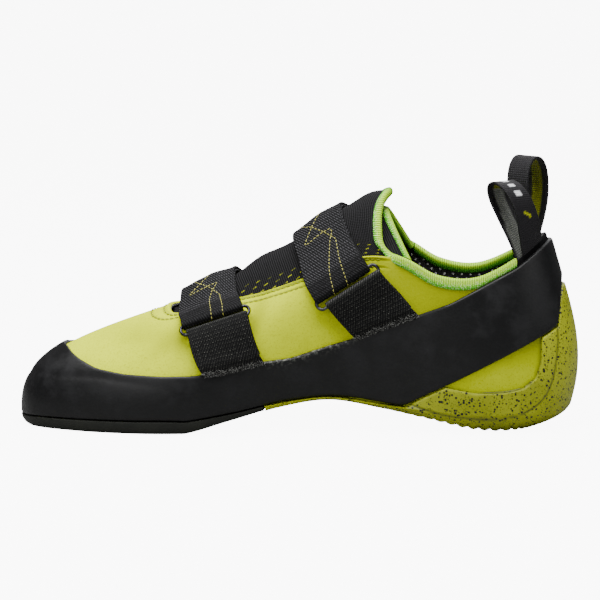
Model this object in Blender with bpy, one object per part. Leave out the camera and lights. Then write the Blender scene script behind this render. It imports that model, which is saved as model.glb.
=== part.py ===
# Climbing shoe, right foot, two webbing straps: upper, soles, rand, straps and heel loops.
# Toe towards -X, heel towards +X, inner side towards -Y, floor at z = 0. Lengths in millimetres
# until a mesh is made.
import math

import bmesh
import bpy
import numpy as np

MM = 0.001
NAME = "climbing_shoe"

# Driving sizes of the shoe
LENGTH = 268.0
BALL_WIDTH = 96.0
HEEL_HEIGHT = 92.0
ARCH_HEIGHT = 14.4
SOLE_THICKNESS = 6.6
UPPER_WALL = 1.8
RAND_WALL = 1.8
HEEL_WALL = 3.3
INSOLE_THICKNESS = 2.6
ELASTIC_WALL = 1.2
WEBBING_THICKNESS = 1.2
STRAP_WIDTH = 30.0
ANCHOR_WIDTH = 31.0
RING_WIRE = 1.6
RING_BARS = 6.8
BINDING_WALL = 0.8
BINDING_OUTSIDE = 4.2
BINDING_INSIDE = 3.4
FLAP_TAPE_INSIDE = 2.0
LOOP_WEBBING = 14.0
GAP = 0.3
RAND_CLEARANCE = 2.2

# Where things sit along the shoe
JOINT_STATION = 7.25
STATION_PACE = 0.08 * LENGTH
COLLAR_TAPE = (2.0, 5.0)
FLAP_TUCK = 0.93
ROLL_STEPS = 5
DECK_MARGIN = 0.02
RING_CORNER = 2.4
SHEET_OFFSETS = np.arange(-26.0, 38.0, 3.0)
SHEET_REACH = 80.0
SHEET_STEP = 0.8
SLANT_START = 3.0
WALL_ROWS = (0.0, 0.17, 0.34, 0.51, 0.68, 0.83, 0.94, 1.0)

# Sections of the last, heel back to toe tip, one table for each side.
# edge_x, top_x: shares of LENGTH. edge_y, top_y: shares of BALL_WIDTH, outwards.
# under: height of the sole's underside, share of ARCH_HEIGHT. sole: share of SOLE_THICKNESS.
# top_z: share of HEEL_HEIGHT. rise, drop: the wall's two handles, shares of its height.
# swell, shoulder: how far those handles stand out, shares of BALL_WIDTH.
# roll: how far the sole's lower edge rolls under, share of BALL_WIDTH.
SECTION_COLUMNS = ("edge_x", "edge_y", "under", "sole", "top_x", "top_y", "top_z",
                   "rise", "swell", "drop", "shoulder", "roll")
HEEL_BACK = (0.472, 0.000, -0.03, 1.95, 0.435, 0.000, 1.000, 0.33, 0.083, 0.41, 0.097, 0.270)
TOE_TIP = (-0.491, -0.110, 0.07, 0.56, -0.234, 0.005, 0.600, 0.50, 0.016, 0.34, 0.573, 0.030)
INNER_SECTIONS = (
    (0.448, 0.156, -0.03, 1.75, 0.420, 0.130, 0.962, 0.33, 0.078, 0.40, 0.089, 0.230),
    (0.392, 0.260, -0.03, 1.60, 0.381, 0.224, 0.875, 0.33, 0.057, 0.38, 0.057, 0.140),
    (0.313, 0.297, 0.08, 1.38, 0.313, 0.276, 0.783, 0.35, 0.047, 0.35, 0.047, 0.090),
    (0.231, 0.292, 0.43, 0.80, 0.246, 0.286, 0.793, 0.35, 0.042, 0.35, 0.036, 0.060),
    (0.149, 0.271, 0.75, 0.38, 0.179, 0.271, 0.886, 0.35, 0.042, 0.33, 0.036, 0.045),
    (0.056, 0.260, 1.00, 0.29, 0.104, 0.245, 0.891, 0.38, 0.042, 0.30, 0.062, 0.040),
    (-0.037, 0.292, 0.75, 0.38, 0.015, 0.214, 0.783, 0.42, 0.042, 0.25, 0.104, 0.035),
    (-0.119, 0.370, 0.37, 0.60, -0.067, 0.182, 0.696, 0.45, 0.042, 0.20, 0.156, 0.030),
    (-0.205, 0.438, -0.03, 1.00, -0.149, 0.135, 0.633, 0.48, 0.042, 0.16, 0.177, 0.030),
    (-0.291, 0.443, -0.03, 1.00, -0.198, 0.112, 0.590, 0.50, 0.036, 0.18, 0.229, 0.030),
    (-0.384, 0.388, -0.03, 0.95, -0.220, 0.088, 0.572, 0.50, 0.031, 0.24, 0.333, 0.030),
    (-0.466, 0.275, -0.01, 0.85, -0.231, 0.050, 0.582, 0.50, 0.021, 0.32, 0.500, 0.030),
)
OUTER_SECTIONS = (
    (0.448, 0.156, -0.03, 1.75, 0.420, 0.130, 0.962, 0.33, 0.078, 0.40, 0.089, 0.230),
    (0.392, 0.265, -0.03, 1.60, 0.381, 0.224, 0.875, 0.33, 0.057, 0.38, 0.057, 0.140),
    (0.313, 0.307, 0.06, 1.40, 0.313, 0.276, 0.790, 0.35, 0.047, 0.35, 0.047, 0.090),
    (0.231, 0.328, 0.29, 0.95, 0.246, 0.286, 0.815, 0.35, 0.042, 0.35, 0.042, 0.060),
    (0.149, 0.359, 0.45, 0.70, 0.179, 0.276, 0.920, 0.35, 0.042, 0.33, 0.052, 0.045),
    (0.056, 0.401, 0.52, 0.65, 0.104, 0.250, 0.910, 0.36, 0.036, 0.30, 0.083, 0.040),
    (-0.037, 0.443, 0.42, 0.70, 0.015, 0.219, 0.785, 0.38, 0.031, 0.27, 0.125, 0.035),
    (-0.119, 0.474, 0.21, 0.80, -0.067, 0.188, 0.696, 0.40, 0.031, 0.24, 0.167, 0.030),
    (-0.205, 0.458, -0.03, 1.00, -0.149, 0.141, 0.631, 0.42, 0.031, 0.22, 0.188, 0.030),
    (-0.291, 0.385, -0.03, 1.00, -0.198, 0.112, 0.611, 0.44, 0.031, 0.26, 0.229, 0.030),
    (-0.392, 0.232, -0.03, 0.95, -0.220, 0.085, 0.609, 0.46, 0.026, 0.32, 0.333, 0.030),
    (-0.462, 0.065, -0.01, 0.85, -0.231, 0.045, 0.607, 0.48, 0.021, 0.34, 0.479, 0.030),
)

# Edges that cross the wall: rows of place along the shoe (share of LENGTH) and
# height (share of HEEL_HEIGHT)
RAND_TOP_INNER = ((-0.500, 0.42), (-0.437, 0.402), (-0.410, 0.395), (-0.381, 0.355),
                  (-0.350, 0.320), (-0.299, 0.300), (-0.230, 0.293), (-0.175, 0.298),
                  (-0.127, 0.315), (-0.062, 0.362), (-0.011, 0.378), (0.060, 0.446),
                  (0.097, 0.478), (0.209, 0.603), (0.269, 0.667), (0.381, 0.840),
                  (0.437, 0.966), (0.500, 0.980))
RAND_TOP_OUTER = ((-0.500, 0.42), (-0.437, 0.402), (-0.400, 0.380), (-0.350, 0.335),
                  (-0.299, 0.310), (-0.230, 0.300), (-0.127, 0.315), (-0.011, 0.378),
                  (0.097, 0.478), (0.209, 0.603), (0.269, 0.667), (0.381, 0.840),
                  (0.437, 0.966), (0.500, 0.980))
RAND_LOW = ((-0.500, 0.000), (-0.056, 0.000), (-0.040, 0.150), (0.056, 0.180),
            (0.104, 0.173), (0.187, 0.134), (0.226, 0.196), (0.272, 0.261),
            (0.365, 0.400), (0.424, 0.490), (0.452, 0.540), (0.458, 0.770), (0.500, 0.790))
HEEL_PANEL = ((0.000, 0.30), (0.200, 0.30), (0.254, 0.245), (0.310, 0.213), (0.365, 0.220),
              (0.396, 0.236), (0.416, 0.285), (0.424, 0.350), (0.428, 0.600), (0.500, 0.900))

# Elastic gusset, throat front to back: place along the throat, station on the inner and outer
# edge, how high it arches over them (share of HEEL_HEIGHT) and how far its crest leans back
GUSSET_COLUMNS = ("place", "station", "arch", "lean")
GUSSET_ROWS = (
    (0.00, 12.20, -0.012, 0.000),
    (0.08, 11.20, -0.006, 0.000),
    (0.17, 10.10, 0.045, -0.012),
    (0.30, 9.10, 0.070, -0.018),
    (0.48, 8.00, 0.135, -0.024),
    (0.64, 7.20, 0.170, -0.028),
    (0.82, 6.20, 0.215, -0.026),
    (1.00, 5.15, 0.290, -0.016),
)
INNER_FLAP_ROWS = (
    (0.00, 6.50, 0.130, -0.022),
    (0.50, 5.60, 0.165, -0.020),
    (1.00, 4.75, 0.175, -0.020),
)

# Straps: place of the crest (share of LENGTH), slope along the instep, turn in plan (degrees),
# height of the ring (share of HEEL_HEIGHT), slant towards the heel down the inner side, and how
# much less the anchor's heel edge slants than its toe edge
STRAPS = {
    "front": {"crest": -0.164, "height": 0.72, "slope": 19.0, "turn": 11.0, "ring": 0.545,
              "tail": 14.0, "slant": 0.25, "gather": 0.30},
    "rear": {"crest": 0.036, "height": 1.03, "slope": 34.0, "turn": 12.0, "ring": 0.755,
             "tail": 16.0, "slant": 0.13, "gather": 0.0},
}

# Heel loops: station on the collar, height over it (share of HEEL_HEIGHT), half opening, lean
# towards the toe (share of LENGTH), depth of the sewn ends
PULL_LOOPS = {
    "pull_loop_inner": {"station": 1.35, "height": 0.37, "opening": 13.0, "lean": -0.036,
                        "tuck": 4.0},
    "pull_loop_outer": {"station": 24.65, "height": 0.44, "opening": 12.0, "lean": -0.010,
                        "tuck": 4.0},
}

COLOURS = {
    "upper": (0.63, 0.66, 0.06, 0.85), "insole": (0.03, 0.03, 0.03, 0.9),
    "forefoot_sole": (0.018, 0.018, 0.016, 0.6), "heel_rubber": (0.40, 0.42, 0.01, 0.6),
    "rand": (0.012, 0.012, 0.013, 0.55), "tongue": (0.015, 0.015, 0.016, 0.9),
    "webbing": (0.015, 0.015, 0.017, 0.8), "binding": (0.33, 0.72, 0.08, 0.8),
    "steel": (0.16, 0.16, 0.17, 0.3),
}


def catmull(rows, position, closed=False):
    """Rows blended by a Catmull-Rom curve at positions counted in rows."""
    rows = np.asarray(rows, float)
    position = np.asarray(position, float)
    count = len(rows)
    base = np.floor(position).astype(int)
    if not closed:
        base = np.clip(base, 0, count - 2)
    part = (position - base)[..., None]

    def row(step):
        index = base + step
        return rows[index % count] if closed else rows[np.clip(index, 0, count - 1)]

    before, start, end, after = row(-1), row(0), row(1), row(2)
    return start + 0.5 * part * (end - before + part * (
        2 * before - 5 * start + 4 * end - after + part * (3 * (start - end) + after - before)))


def section_loop():
    """The sections of both sides as one closed loop: heel back, inner side, toe tip, outer side."""
    inner = np.array(INNER_SECTIONS)
    outer = np.array(OUTER_SECTIONS)[::-1]
    inner[:, [1, 5]] *= -1
    return np.vstack([HEEL_BACK, inner, TOE_TIP, outer])


LOOP = section_loop()
STATIONS = len(LOOP)
HALF = STATIONS // 2


def unit(vectors):
    length = np.linalg.norm(vectors, axis=-1, keepdims=True)
    return vectors / np.maximum(length, 1e-9)


def sections(stations):
    """Named measures of the last at places counted in stations round the loop."""
    values = catmull(LOOP, stations, closed=True)
    row = {name: values[..., i] for i, name in enumerate(SECTION_COLUMNS)}
    under = np.maximum(row["under"], 0) * ARCH_HEIGHT
    edge = np.stack([row["edge_x"] * LENGTH, row["edge_y"] * BALL_WIDTH,
                     under + row["sole"] * SOLE_THICKNESS], -1)
    top = np.stack([row["top_x"] * LENGTH, row["top_y"] * BALL_WIDTH,
                    row["top_z"] * HEEL_HEIGHT], -1)
    return row, under, edge, top


def outward(stations):
    """Level direction that points out of the shoe at the sole's edge."""
    step = 0.05
    tangent = sections(stations + step)[2] - sections(stations - step)[2]
    normal = np.stack([tangent[..., 1], -tangent[..., 0], np.zeros(tangent.shape[:-1])], -1)
    return -unit(normal)


def wall(stations, shares):
    """Outer face of the upper: a cubic curve up each section, from sole edge to top line."""
    row, _, edge, top = sections(stations)
    out = outward(stations)
    height = (top - edge)[..., 2:]
    up = np.array([0.0, 0.0, 1.0])
    reach = (edge - top) * [1, 1, 0]
    lean = unit(reach + 0.2 * BALL_WIDTH * out)
    low = edge + out * row["swell"][..., None] * BALL_WIDTH + up * row["rise"][..., None] * height
    high = (top + lean * row["shoulder"][..., None] * BALL_WIDTH
            - up * row["drop"][..., None] * height)
    w = shares[..., None]
    return ((1 - w) ** 3 * edge + 3 * (1 - w) ** 2 * w * low
            + 3 * (1 - w) * w ** 2 * high + w ** 3 * top)


def wall_normal(stations, shares):
    """Direction that points out of the wall."""
    step = 0.02
    along = wall(stations + step, shares) - wall(stations - step, shares)
    rise = wall(stations, np.minimum(shares + step, 1)) - wall(stations, np.maximum(shares - step, 0))
    return unit(np.cross(rise, along))


def layer(stations, shares, offset):
    """The wall moved out by offset."""
    offset = np.asarray(offset, float)
    return wall(stations, shares) + wall_normal(stations, shares) * offset[..., None]


def height_share(stations, table, other=None):
    """Share of the wall at which it first meets the height that a table gives for its place."""
    samples = np.linspace(0, 1, 161)
    grid = wall(stations[:, None] + 0 * samples, samples + 0 * stations[:, None])
    result = np.zeros(len(stations))
    for i, line in enumerate(grid):
        rows = np.array(other if other is not None and line[:, 1].mean() > 0 else table)
        target = np.interp(line[:, 0], rows[:, 0] * LENGTH, rows[:, 1] * HEEL_HEIGHT)
        above = np.nonzero(line[:, 2] >= target)[0]
        result[i] = samples[above[0]] if len(above) else 1.0
    return result


def material(name, slot):
    made = bpy.data.materials.new(name)
    made.use_nodes = True
    shader = made.node_tree.nodes["Principled BSDF"]
    red, green, blue, rough = COLOURS[slot]
    shader.inputs["Base Color"].default_value = (red, green, blue, 1)
    shader.inputs["Roughness"].default_value = rough
    shader.inputs["Metallic"].default_value = 1.0 if slot == "steel" else 0.0
    made.diffuse_color = (red, green, blue, 1)
    return made


def place(name, slot, points, faces, collection):
    """A closed mesh from points in millimetres."""
    mesh = bpy.data.meshes.new(name)
    mesh.from_pydata((np.asarray(points) * MM).tolist(), [], faces)
    work = bmesh.new()
    work.from_mesh(mesh)
    bmesh.ops.remove_doubles(work, verts=work.verts, dist=0.00002)
    bmesh.ops.dissolve_degenerate(work, edges=work.edges, dist=0.00001)
    bmesh.ops.recalc_face_normals(work, faces=work.faces)
    bmesh.ops.triangulate(work, faces=work.faces)
    work.to_mesh(mesh)
    work.free()
    mesh.shade_smooth()
    mesh.set_sharp_from_angle(angle=math.radians(40))
    made = bpy.data.objects.new(name, mesh)
    mesh.materials.append(material(name, slot))
    collection.objects.link(made)
    return made


def shell(outer, inner, ring=False, open_first=False, open_last=False):
    """Points and faces of the solid between two like grids, closed along its rims.

    ring joins the last row to the first. open_first and open_last leave out the rim of a row
    whose two halves fold together."""
    rows, columns = outer.shape[:2]
    size = rows * columns
    points = np.vstack([outer.reshape(-1, 3), inner.reshape(-1, 3)])
    faces = []

    def number(i, j, side):
        return side * size + (i % rows) * columns + j

    for i in range(rows if ring else rows - 1):
        for j in range(columns - 1):
            for side in (0, 1):
                faces.append((number(i, j, side), number(i + 1, j, side),
                              number(i + 1, j + 1, side), number(i, j + 1, side)))
        for j in (0, columns - 1):
            faces.append((number(i, j, 0), number(i + 1, j, 0),
                          number(i + 1, j, 1), number(i, j, 1)))
    ends = [] if ring else [e for e, left in ((0, open_first), (rows - 1, open_last)) if not left]
    for i in ends:
        for j in range(columns - 1):
            faces.append((number(i, j, 0), number(i, j + 1, 0),
                          number(i, j + 1, 1), number(i, j, 1)))
    return points, faces


def sheet_normal(grid):
    along = np.gradient(grid, axis=0)
    across = np.gradient(grid, axis=1)
    return unit(np.cross(along, across))


def slab(grid, thickness):
    """Outer and inner grids of a sheet of even thickness about its middle surface."""
    half = sheet_normal(grid) * thickness / 2
    return grid + half, grid - half


def half_stations():
    """Stations of one side, closer together round the heel, with one where the soles meet."""
    even = np.concatenate([np.arange(0, 3, 0.25), np.arange(3, HALF + 0.01, 0.5)])
    return np.sort(np.append(even, JOINT_STATION))


def loop_stations():
    """Stations of both sides, in order round the loop."""
    side = half_stations()
    return np.concatenate([side, STATIONS - side[-2:0:-1]])


def upper_solid():
    rising = np.array(WALL_ROWS)
    stations = loop_stations()[:, None] + 0 * rising
    shares = rising + 0 * stations
    outer = layer(stations, shares, 0 * shares)
    inner = layer(stations, shares, -UPPER_WALL + 0 * shares)
    return shell(outer, inner, ring=True)


def rand_edges(stations):
    low = height_share(stations, RAND_LOW)
    high = height_share(stations, RAND_TOP_INNER, RAND_TOP_OUTER)
    return low, high


def rand_solid(columns=6):
    stations = loop_stations()
    low, high = rand_edges(stations)
    part = np.linspace(0, 1, columns)
    shares = low[:, None] + (high - low)[:, None] * part
    grid = stations[:, None] + 0 * shares
    return shell(layer(grid, shares, GAP + RAND_WALL + 0 * shares),
                 layer(grid, shares, GAP + 0 * shares), ring=True)


def spine(edge):
    """Middle line of the sole, that rolled edges turn towards."""
    x = np.clip(edge[..., 0], -0.36 * LENGTH, 0.375 * LENGTH)
    y = np.interp(x, [-0.36 * LENGTH, -0.2 * LENGTH, 0.0, 0.375 * LENGTH],
                  [-0.07 * BALL_WIDTH, 0.0, 0.06 * BALL_WIDTH, 0.0])
    return np.stack([x, y, 0 * x], -1)


def sole_side(stations, shares, offset):
    """One side of a sole's outer face, from its top edge down and round to the underside."""
    row, under, edge, _ = sections(stations)
    out = outward(stations)
    rim = edge + out * offset
    centre = spine(edge)
    inward = (centre - rim) * [1, 1, 0]
    distance = np.linalg.norm(inward, axis=-1)
    roll = np.minimum(row["roll"] * BALL_WIDTH, 0.9 * distance)
    turn = np.linspace(0, math.pi / 2, ROLL_STEPS)[1:]
    curve = []
    for angle in turn:
        point = rim + unit(inward) * (roll * (1 - math.cos(angle)))[:, None]
        point[:, 2] = under + (edge[:, 2] - under) * (1 - math.sin(angle))
        curve.append(point)
    side = layer(stations[:, None] + 0 * shares, shares, offset + 0 * shares)
    return np.concatenate([side, np.stack(curve, 1)], 1)


def across(inner_edge, outer_edge, count):
    """Points on straight lines from the inner edge to the outer edge, ends left out."""
    part = np.linspace(0, 1, count + 2)[1:-1][None, :, None]
    return inner_edge[:, None] + (outer_edge - inner_edge)[:, None] * part


def paired(stations, half_shape):
    """The same half shape built on both sides of the loop."""
    return half_shape(stations), half_shape(STATIONS - stations)


def forefoot_sole_solid(middle=5):
    side = half_stations()
    stations = side[side >= JOINT_STATION]
    stations[0] += 2 * GAP / STATION_PACE

    def outer_half(where):
        return sole_side(where, np.zeros((len(where), 1)), GAP + RAND_WALL)

    inner_side, outer_side = paired(stations, outer_half)
    inner_side[:, 0, 2] -= GAP
    outer_side[:, 0, 2] -= GAP
    bottom = np.concatenate([inner_side, across(inner_side[:, -1], outer_side[:, -1], middle),
                             outer_side[:, ::-1]], 1)
    # the deck's rim sits in from the sole's edge, so that both faces stay apart
    part = np.linspace(DECK_MARGIN, 1 - DECK_MARGIN, bottom.shape[1])[None, :, None]
    deck = bottom[:, :1] + (bottom[:, -1:] - bottom[:, :1]) * part
    return shell(bottom, deck, open_last=True)


def heel_top(stations):
    low = height_share(stations, RAND_LOW)
    panel = height_share(stations, HEEL_PANEL)
    length = np.linalg.norm(np.diff(wall(stations[:, None] + np.zeros(21),
                                         np.linspace(0, 1, 21) + 0 * stations[:, None]), axis=1),
                            axis=-1).sum(1)
    top = np.clip(np.minimum(panel, low - 1.6 * GAP / length), 0, 1)
    return top, GAP * np.clip(1 - top / 0.02, 0, 1)


def heel_rubber_solid(middle=3, columns=7):
    side = half_stations()
    stations = side[side <= JOINT_STATION]

    def outer_half(where):
        top, sink = heel_top(where)
        shares = top[:, None] * np.linspace(1, 0, columns)
        thick = GAP + RAND_WALL + (HEEL_WALL - RAND_WALL) * np.linspace(0, 1, columns)
        side = layer(where[:, None] + 0 * shares, shares, thick + 0 * shares)
        roll = sole_side(where, np.zeros((len(where), 1)), GAP + HEEL_WALL)
        face = np.concatenate([side[:, :-1], roll], 1)
        face[:, :columns, 2] -= sink[:, None]
        return face

    def inner_half(where):
        top, sink = heel_top(where)
        shares = top[:, None] * np.linspace(1, 0, columns)
        side = layer(where[:, None] + 0 * shares, shares, 1.5 * GAP + 0 * shares)
        side[:, :-1, 2] -= sink[:, None]
        side[:, -1, 2] -= GAP
        return side

    inner_side, outer_side = paired(stations, outer_half)
    face = np.concatenate([inner_side, across(inner_side[:, -1], outer_side[:, -1], middle),
                           outer_side[:, ::-1]], 1)
    back_in, back_out = paired(stations, inner_half)
    count = face.shape[1] - 2 * columns
    lining = np.concatenate([back_in, across(back_in[:, -1], back_out[:, -1], count),
                             back_out[:, ::-1]], 1)
    return shell(face, lining, open_first=True)


def insole_solid(columns=4):
    stations = half_stations()

    def edge_of(where):
        line = layer(where, np.zeros(len(where)), -(UPPER_WALL + GAP) + 0 * where)
        line[:, 2] = sections(where)[2][:, 2] + GAP
        return line

    inner_side, outer_side = paired(stations, edge_of)
    part = np.linspace(0, 1, columns)[None, :, None]
    low = inner_side[:, None] + (outer_side - inner_side)[:, None] * part
    return shell(low, low + [0, 0, INSOLE_THICKNESS], open_first=True, open_last=True)


def gusset(rows_table, places, parts, inset):
    """Middle surface of an elastic flap that springs from inside both throat edges."""
    table = np.array(rows_table)
    smooth = catmull(table, np.interp(places, table[:, 0], np.arange(len(table))))
    row = dict(zip(GUSSET_COLUMNS, smooth.T))
    station = row["station"]
    depth = UPPER_WALL + 3 * GAP + ELASTIC_WALL / 2 + inset

    def springing(where, share):
        return layer(where, share + 0 * where, -depth + 0 * where)

    foot_in = springing(station, FLAP_TUCK)
    edge_in = springing(station, 1.0)
    foot_out = springing(STATIONS - station, FLAP_TUCK)
    edge_out = springing(STATIONS - station, 1.0)
    arch = row["arch"] * HEEL_HEIGHT
    lean = row["lean"] * LENGTH
    u = parts[None, :, None]
    bow = np.sin(np.pi * u)
    grid = edge_in[:, None] + (edge_out - edge_in)[:, None] * u
    grid = grid + bow * np.stack([lean, 0 * lean, arch], -1)[:, None]
    return np.concatenate([foot_in[:, None], grid, foot_out[:, None]], 1)


def tongue_grid(rows=12, columns=15):
    return gusset(GUSSET_ROWS, np.linspace(0, 1, rows), np.linspace(0, 1, columns), 0.0)


def inner_tongue_grid(rows=6, columns=13):
    return gusset(INNER_FLAP_ROWS, np.linspace(0, 1, rows), np.linspace(0, 1, columns),
                  ELASTIC_WALL + 4 * GAP)


def tape(leg_out, leg_in, edge, normals, outs, thickness):
    """U-shaped tape over a free edge, as outer and inner grids.

    leg_out and leg_in give the points of its two legs at an offset from the outer face, edge is
    that face's edge, normals point out of the face and outs past the edge."""
    near, far = GAP, GAP + BINDING_WALL
    soft = 0.4 * BINDING_WALL

    def over(a, b):
        return (edge + normals * a + outs * b)[:, None]

    hollow = [leg_out(near), over(near, near), over(-thickness - near, near),
              leg_in(-thickness - near)]
    skin = [leg_out(far), over(near + soft, far), over(-thickness - near - soft, far),
            leg_in(-thickness - far)]
    return np.concatenate(skin, 1), np.concatenate(hollow, 1)


def wall_length(stations):
    shares = np.linspace(0, 1, 21)
    line = wall(stations[:, None] + 0 * shares, shares + 0 * stations[:, None])
    return np.linalg.norm(np.diff(line, axis=1), axis=-1).sum(1)


def collar_edging(outer_side):
    """Tape round the collar, whose outer leg stops short of the rand."""
    side = half_stations()
    stations = side[(side >= COLLAR_TAPE[0]) & (side <= COLLAR_TAPE[1])]
    if outer_side:
        stations = STATIONS - stations
    one = np.ones(len(stations))
    height = wall_length(stations)
    room = (1 - height_share(stations, RAND_TOP_INNER, RAND_TOP_OUTER)) * height - 3 * GAP
    outside = np.clip(np.minimum(BINDING_OUTSIDE, room), GAP, None) / height
    edge = wall(stations, one)
    outs = unit(edge - wall(stations, 0.96 * one))

    def leg(shares, offset):
        grid = stations[:, None] + 0 * shares
        return layer(grid, shares, offset + 0 * shares)

    def leg_out(offset):
        return leg(1 - outside[:, None] * np.array([1.0, 0.5, 0.0]), offset)

    def leg_in(offset):
        return leg(1 - (BINDING_INSIDE / height)[:, None] * np.array([0.0, 0.5, 1.0]), offset)

    return tape(leg_out, leg_in, edge, wall_normal(stations, one), outs, UPPER_WALL)


def flap_edging(grid, clear):
    """Tape along the back edge of an elastic flap, short of its tucked ends."""
    normals = sheet_normal(grid)[-1, clear:-clear]
    line = grid[:, clear:-clear]
    edge = line[-1] + normals * ELASTIC_WALL / 2
    outs = unit(line[-1] - line[-2])

    def leg(depths, offset):
        return np.stack([edge + normals * offset - outs * depth for depth in depths], 1)

    def leg_out(offset):
        return leg((BINDING_OUTSIDE, BINDING_OUTSIDE / 2, 0), offset)

    def leg_in(offset):
        return leg((0, FLAP_TAPE_INSIDE), offset)

    return tape(leg_out, leg_in, edge, normals, outs, ELASTIC_WALL)


def strap_frame(strap):
    """Crest point of a strap, with the directions along the instep, across the foot and up."""
    slope, turn = math.radians(strap["slope"]), math.radians(strap["turn"])
    along = np.array([math.cos(slope) * math.cos(turn), -math.cos(slope) * math.sin(turn),
                      math.sin(slope)])
    over = np.array([math.sin(turn), math.cos(turn), 0.0])
    crest = np.array([strap["crest"] * LENGTH, 0.0, strap["height"] * HEEL_HEIGHT])
    return crest, along, over, np.cross(along, over)


def foot_points():
    """Dense points on the outside of the upper and the gusset, which the straps lie on."""
    stations = np.linspace(0, STATIONS, 521)[:-1, None] + np.zeros(81)
    shares = np.linspace(0, 1, 81) + 0 * stations
    tongue = slab(tongue_grid(91, 61), ELASTIC_WALL)[0]
    return np.vstack([wall(stations, shares).reshape(-1, 3), tongue.reshape(-1, 3)])


FOOT = foot_points()


def half_hull(points, turn):
    """One side of the convex hull of points sorted by height."""
    hull = []
    for point in points:
        while len(hull) > 1:
            a, b = hull[-2], hull[-1]
            if turn * ((b[0] - a[0]) * (point[1] - a[1]) - (b[1] - a[1]) * (point[0] - a[0])) < 0:
                break
            hull.pop()
        hull.append(point)
    return hull


def around(flat):
    """Convex hull of a section, from its lowest point up the inner side and down the outer."""
    rising = flat[np.lexsort((flat[:, 0], flat[:, 1]))]
    return np.array(half_hull(rising, 1) + half_hull(rising, -1)[-2::-1])


def taut_line(strap, offset, reach, count=221):
    """Line of a strap pulled tight over the foot, from the inner to the outer side.

    It is the convex hull of the foot within reach of the line's plane, open at the bottom."""
    crest, along, over, up = strap_frame(strap)
    from_crest = FOOT - crest - offset * along
    band = from_crest[np.abs(from_crest @ along) < reach]
    flat = np.stack([band @ over, band @ up], -1)
    hull = around(flat)
    run = np.concatenate([[0], np.cumsum(np.linalg.norm(np.diff(hull, axis=0), axis=1))])
    even = np.linspace(0, run[-1], count)
    line = np.stack([np.interp(even, run, hull[:, i]) for i in range(2)], -1)
    for _ in range(4):
        line[1:-1] = (line[:-2] + 2 * line[1:-1] + line[2:]) / 4
    slope = unit(np.gradient(line, axis=0))
    normal = slope[:, :1] * up - slope[:, 1:] * over
    points = crest + offset * along + line[:, :1] * over + line[:, 1:] * up
    return {"points": points, "normals": normal, "run": even, "height": line[:, 1]}


def along_line(line, where, name):
    return np.stack([np.interp(where, line["run"], line[name][:, i]) for i in range(3)], -1)


def taut_sheet(strap, reach):
    """Taut lines side by side over the foot, each sampled at the same distances from its crest."""
    distances = np.arange(-SHEET_REACH, SHEET_REACH, SHEET_STEP)
    sheet = {"points": [], "normals": []}
    for offset in SHEET_OFFSETS:
        line = taut_line(strap, offset, reach)
        where = line["run"][int(np.argmax(line["height"]))] + distances
        for name in sheet:
            sheet[name].append(along_line(line, where, name))
    return distances, {name: np.array(rows) for name, rows in sheet.items()}


def slanted_line(strap, offset, distances, sheet, less=0.0, below=0.0):
    """A line of the taut sheet that drifts towards the heel as it goes down the inner side.

    It slants less by the given amount once it is further down than below."""
    down = np.maximum(-distances, 0)
    drift = offset + strap["slant"] * (np.hypot(down, SLANT_START) - SLANT_START)
    drift -= less * np.maximum(down - below, 0)
    index = (drift - SHEET_OFFSETS[0]) / (SHEET_OFFSETS[1] - SHEET_OFFSETS[0])
    base = np.clip(index.astype(int), 0, len(SHEET_OFFSETS) - 2)
    part = (index - base)[:, None]
    rows = np.arange(len(distances))
    line = {name: values[base, rows] * (1 - part) + values[base + 1, rows] * part
            for name, values in sheet.items()}
    crest, _, _, up = strap_frame(strap)
    line.update(run=distances - distances[0], height=(line["points"] - crest) @ up)
    return line


def meeting_run(line, table, outer_side):
    """Run at which a taut line meets the rand's top edge on one side."""
    points = line["points"]
    peak = int(np.argmax(line["height"]))
    order = range(peak, len(points)) if outer_side else range(peak, -1, -1)
    rows = np.array(table)
    for i in order:
        limit = np.interp(points[i, 0], rows[:, 0] * LENGTH, rows[:, 1] * HEEL_HEIGHT)
        if points[i, 2] < limit + RAND_CLEARANCE:
            break
    return line["run"][i]


def ease(distance, length):
    part = np.clip(distance / length, 0, 1)
    return 1 - part * part * (3 - 2 * part)


def webbing_columns(strap, width, count=4):
    """Taut lines side by side across a webbing's width, each with the run of its ring bar."""
    columns = []
    level = (strap["ring"] - strap["height"]) * HEEL_HEIGHT / math.cos(math.radians(strap["slope"]))
    distances, sheet = taut_sheet(strap, width / (count - 1) / 2 + GAP)
    for offset in np.linspace(-width / 2, width / 2, count):
        line = slanted_line(strap, offset, distances, sheet)
        peak = int(np.argmax(line["height"]))
        bar = np.interp(level, line["height"][:peak], line["run"][:peak])
        line = slanted_line(strap, offset, distances, sheet, strap["gather"] * (offset / width + 0.5),
                            line["run"][peak] - bar)
        line["bar"] = bar
        line["peak"] = line["run"][peak]
        columns.append(line)
    return columns


UNDER_LAYER = 2 * GAP + WEBBING_THICKNESS / 2
OVER_LAYER = UNDER_LAYER + WEBBING_THICKNESS + GAP
FOLD_RADIUS = RING_WIRE / 2 + GAP + WEBBING_THICKNESS / 2
BAR_HEIGHT = UNDER_LAYER + FOLD_RADIUS
FLARE = 14.0


def ring_frame(strap):
    """Where a ring lies: a point for each column on its upper bar, and its three directions."""
    columns = webbing_columns(strap, STRAP_WIDTH)
    feet = np.array([along_line(c, c["bar"], "points") for c in columns])
    normals = np.array([along_line(c, c["bar"], "normals") for c in columns])
    sideways = unit(feet[-1] - feet[0])
    normal = unit(normals.mean(0) - sideways * (normals.mean(0) @ sideways))
    downhill = np.cross(normal, sideways)
    if downhill[2] > 0:
        downhill = -downhill
    middle = feet.mean(0)
    lift = BAR_HEIGHT + max(0.0, float(((feet - middle) @ normal).max()))
    return middle + normal * lift, sideways, downhill, normal


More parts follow.
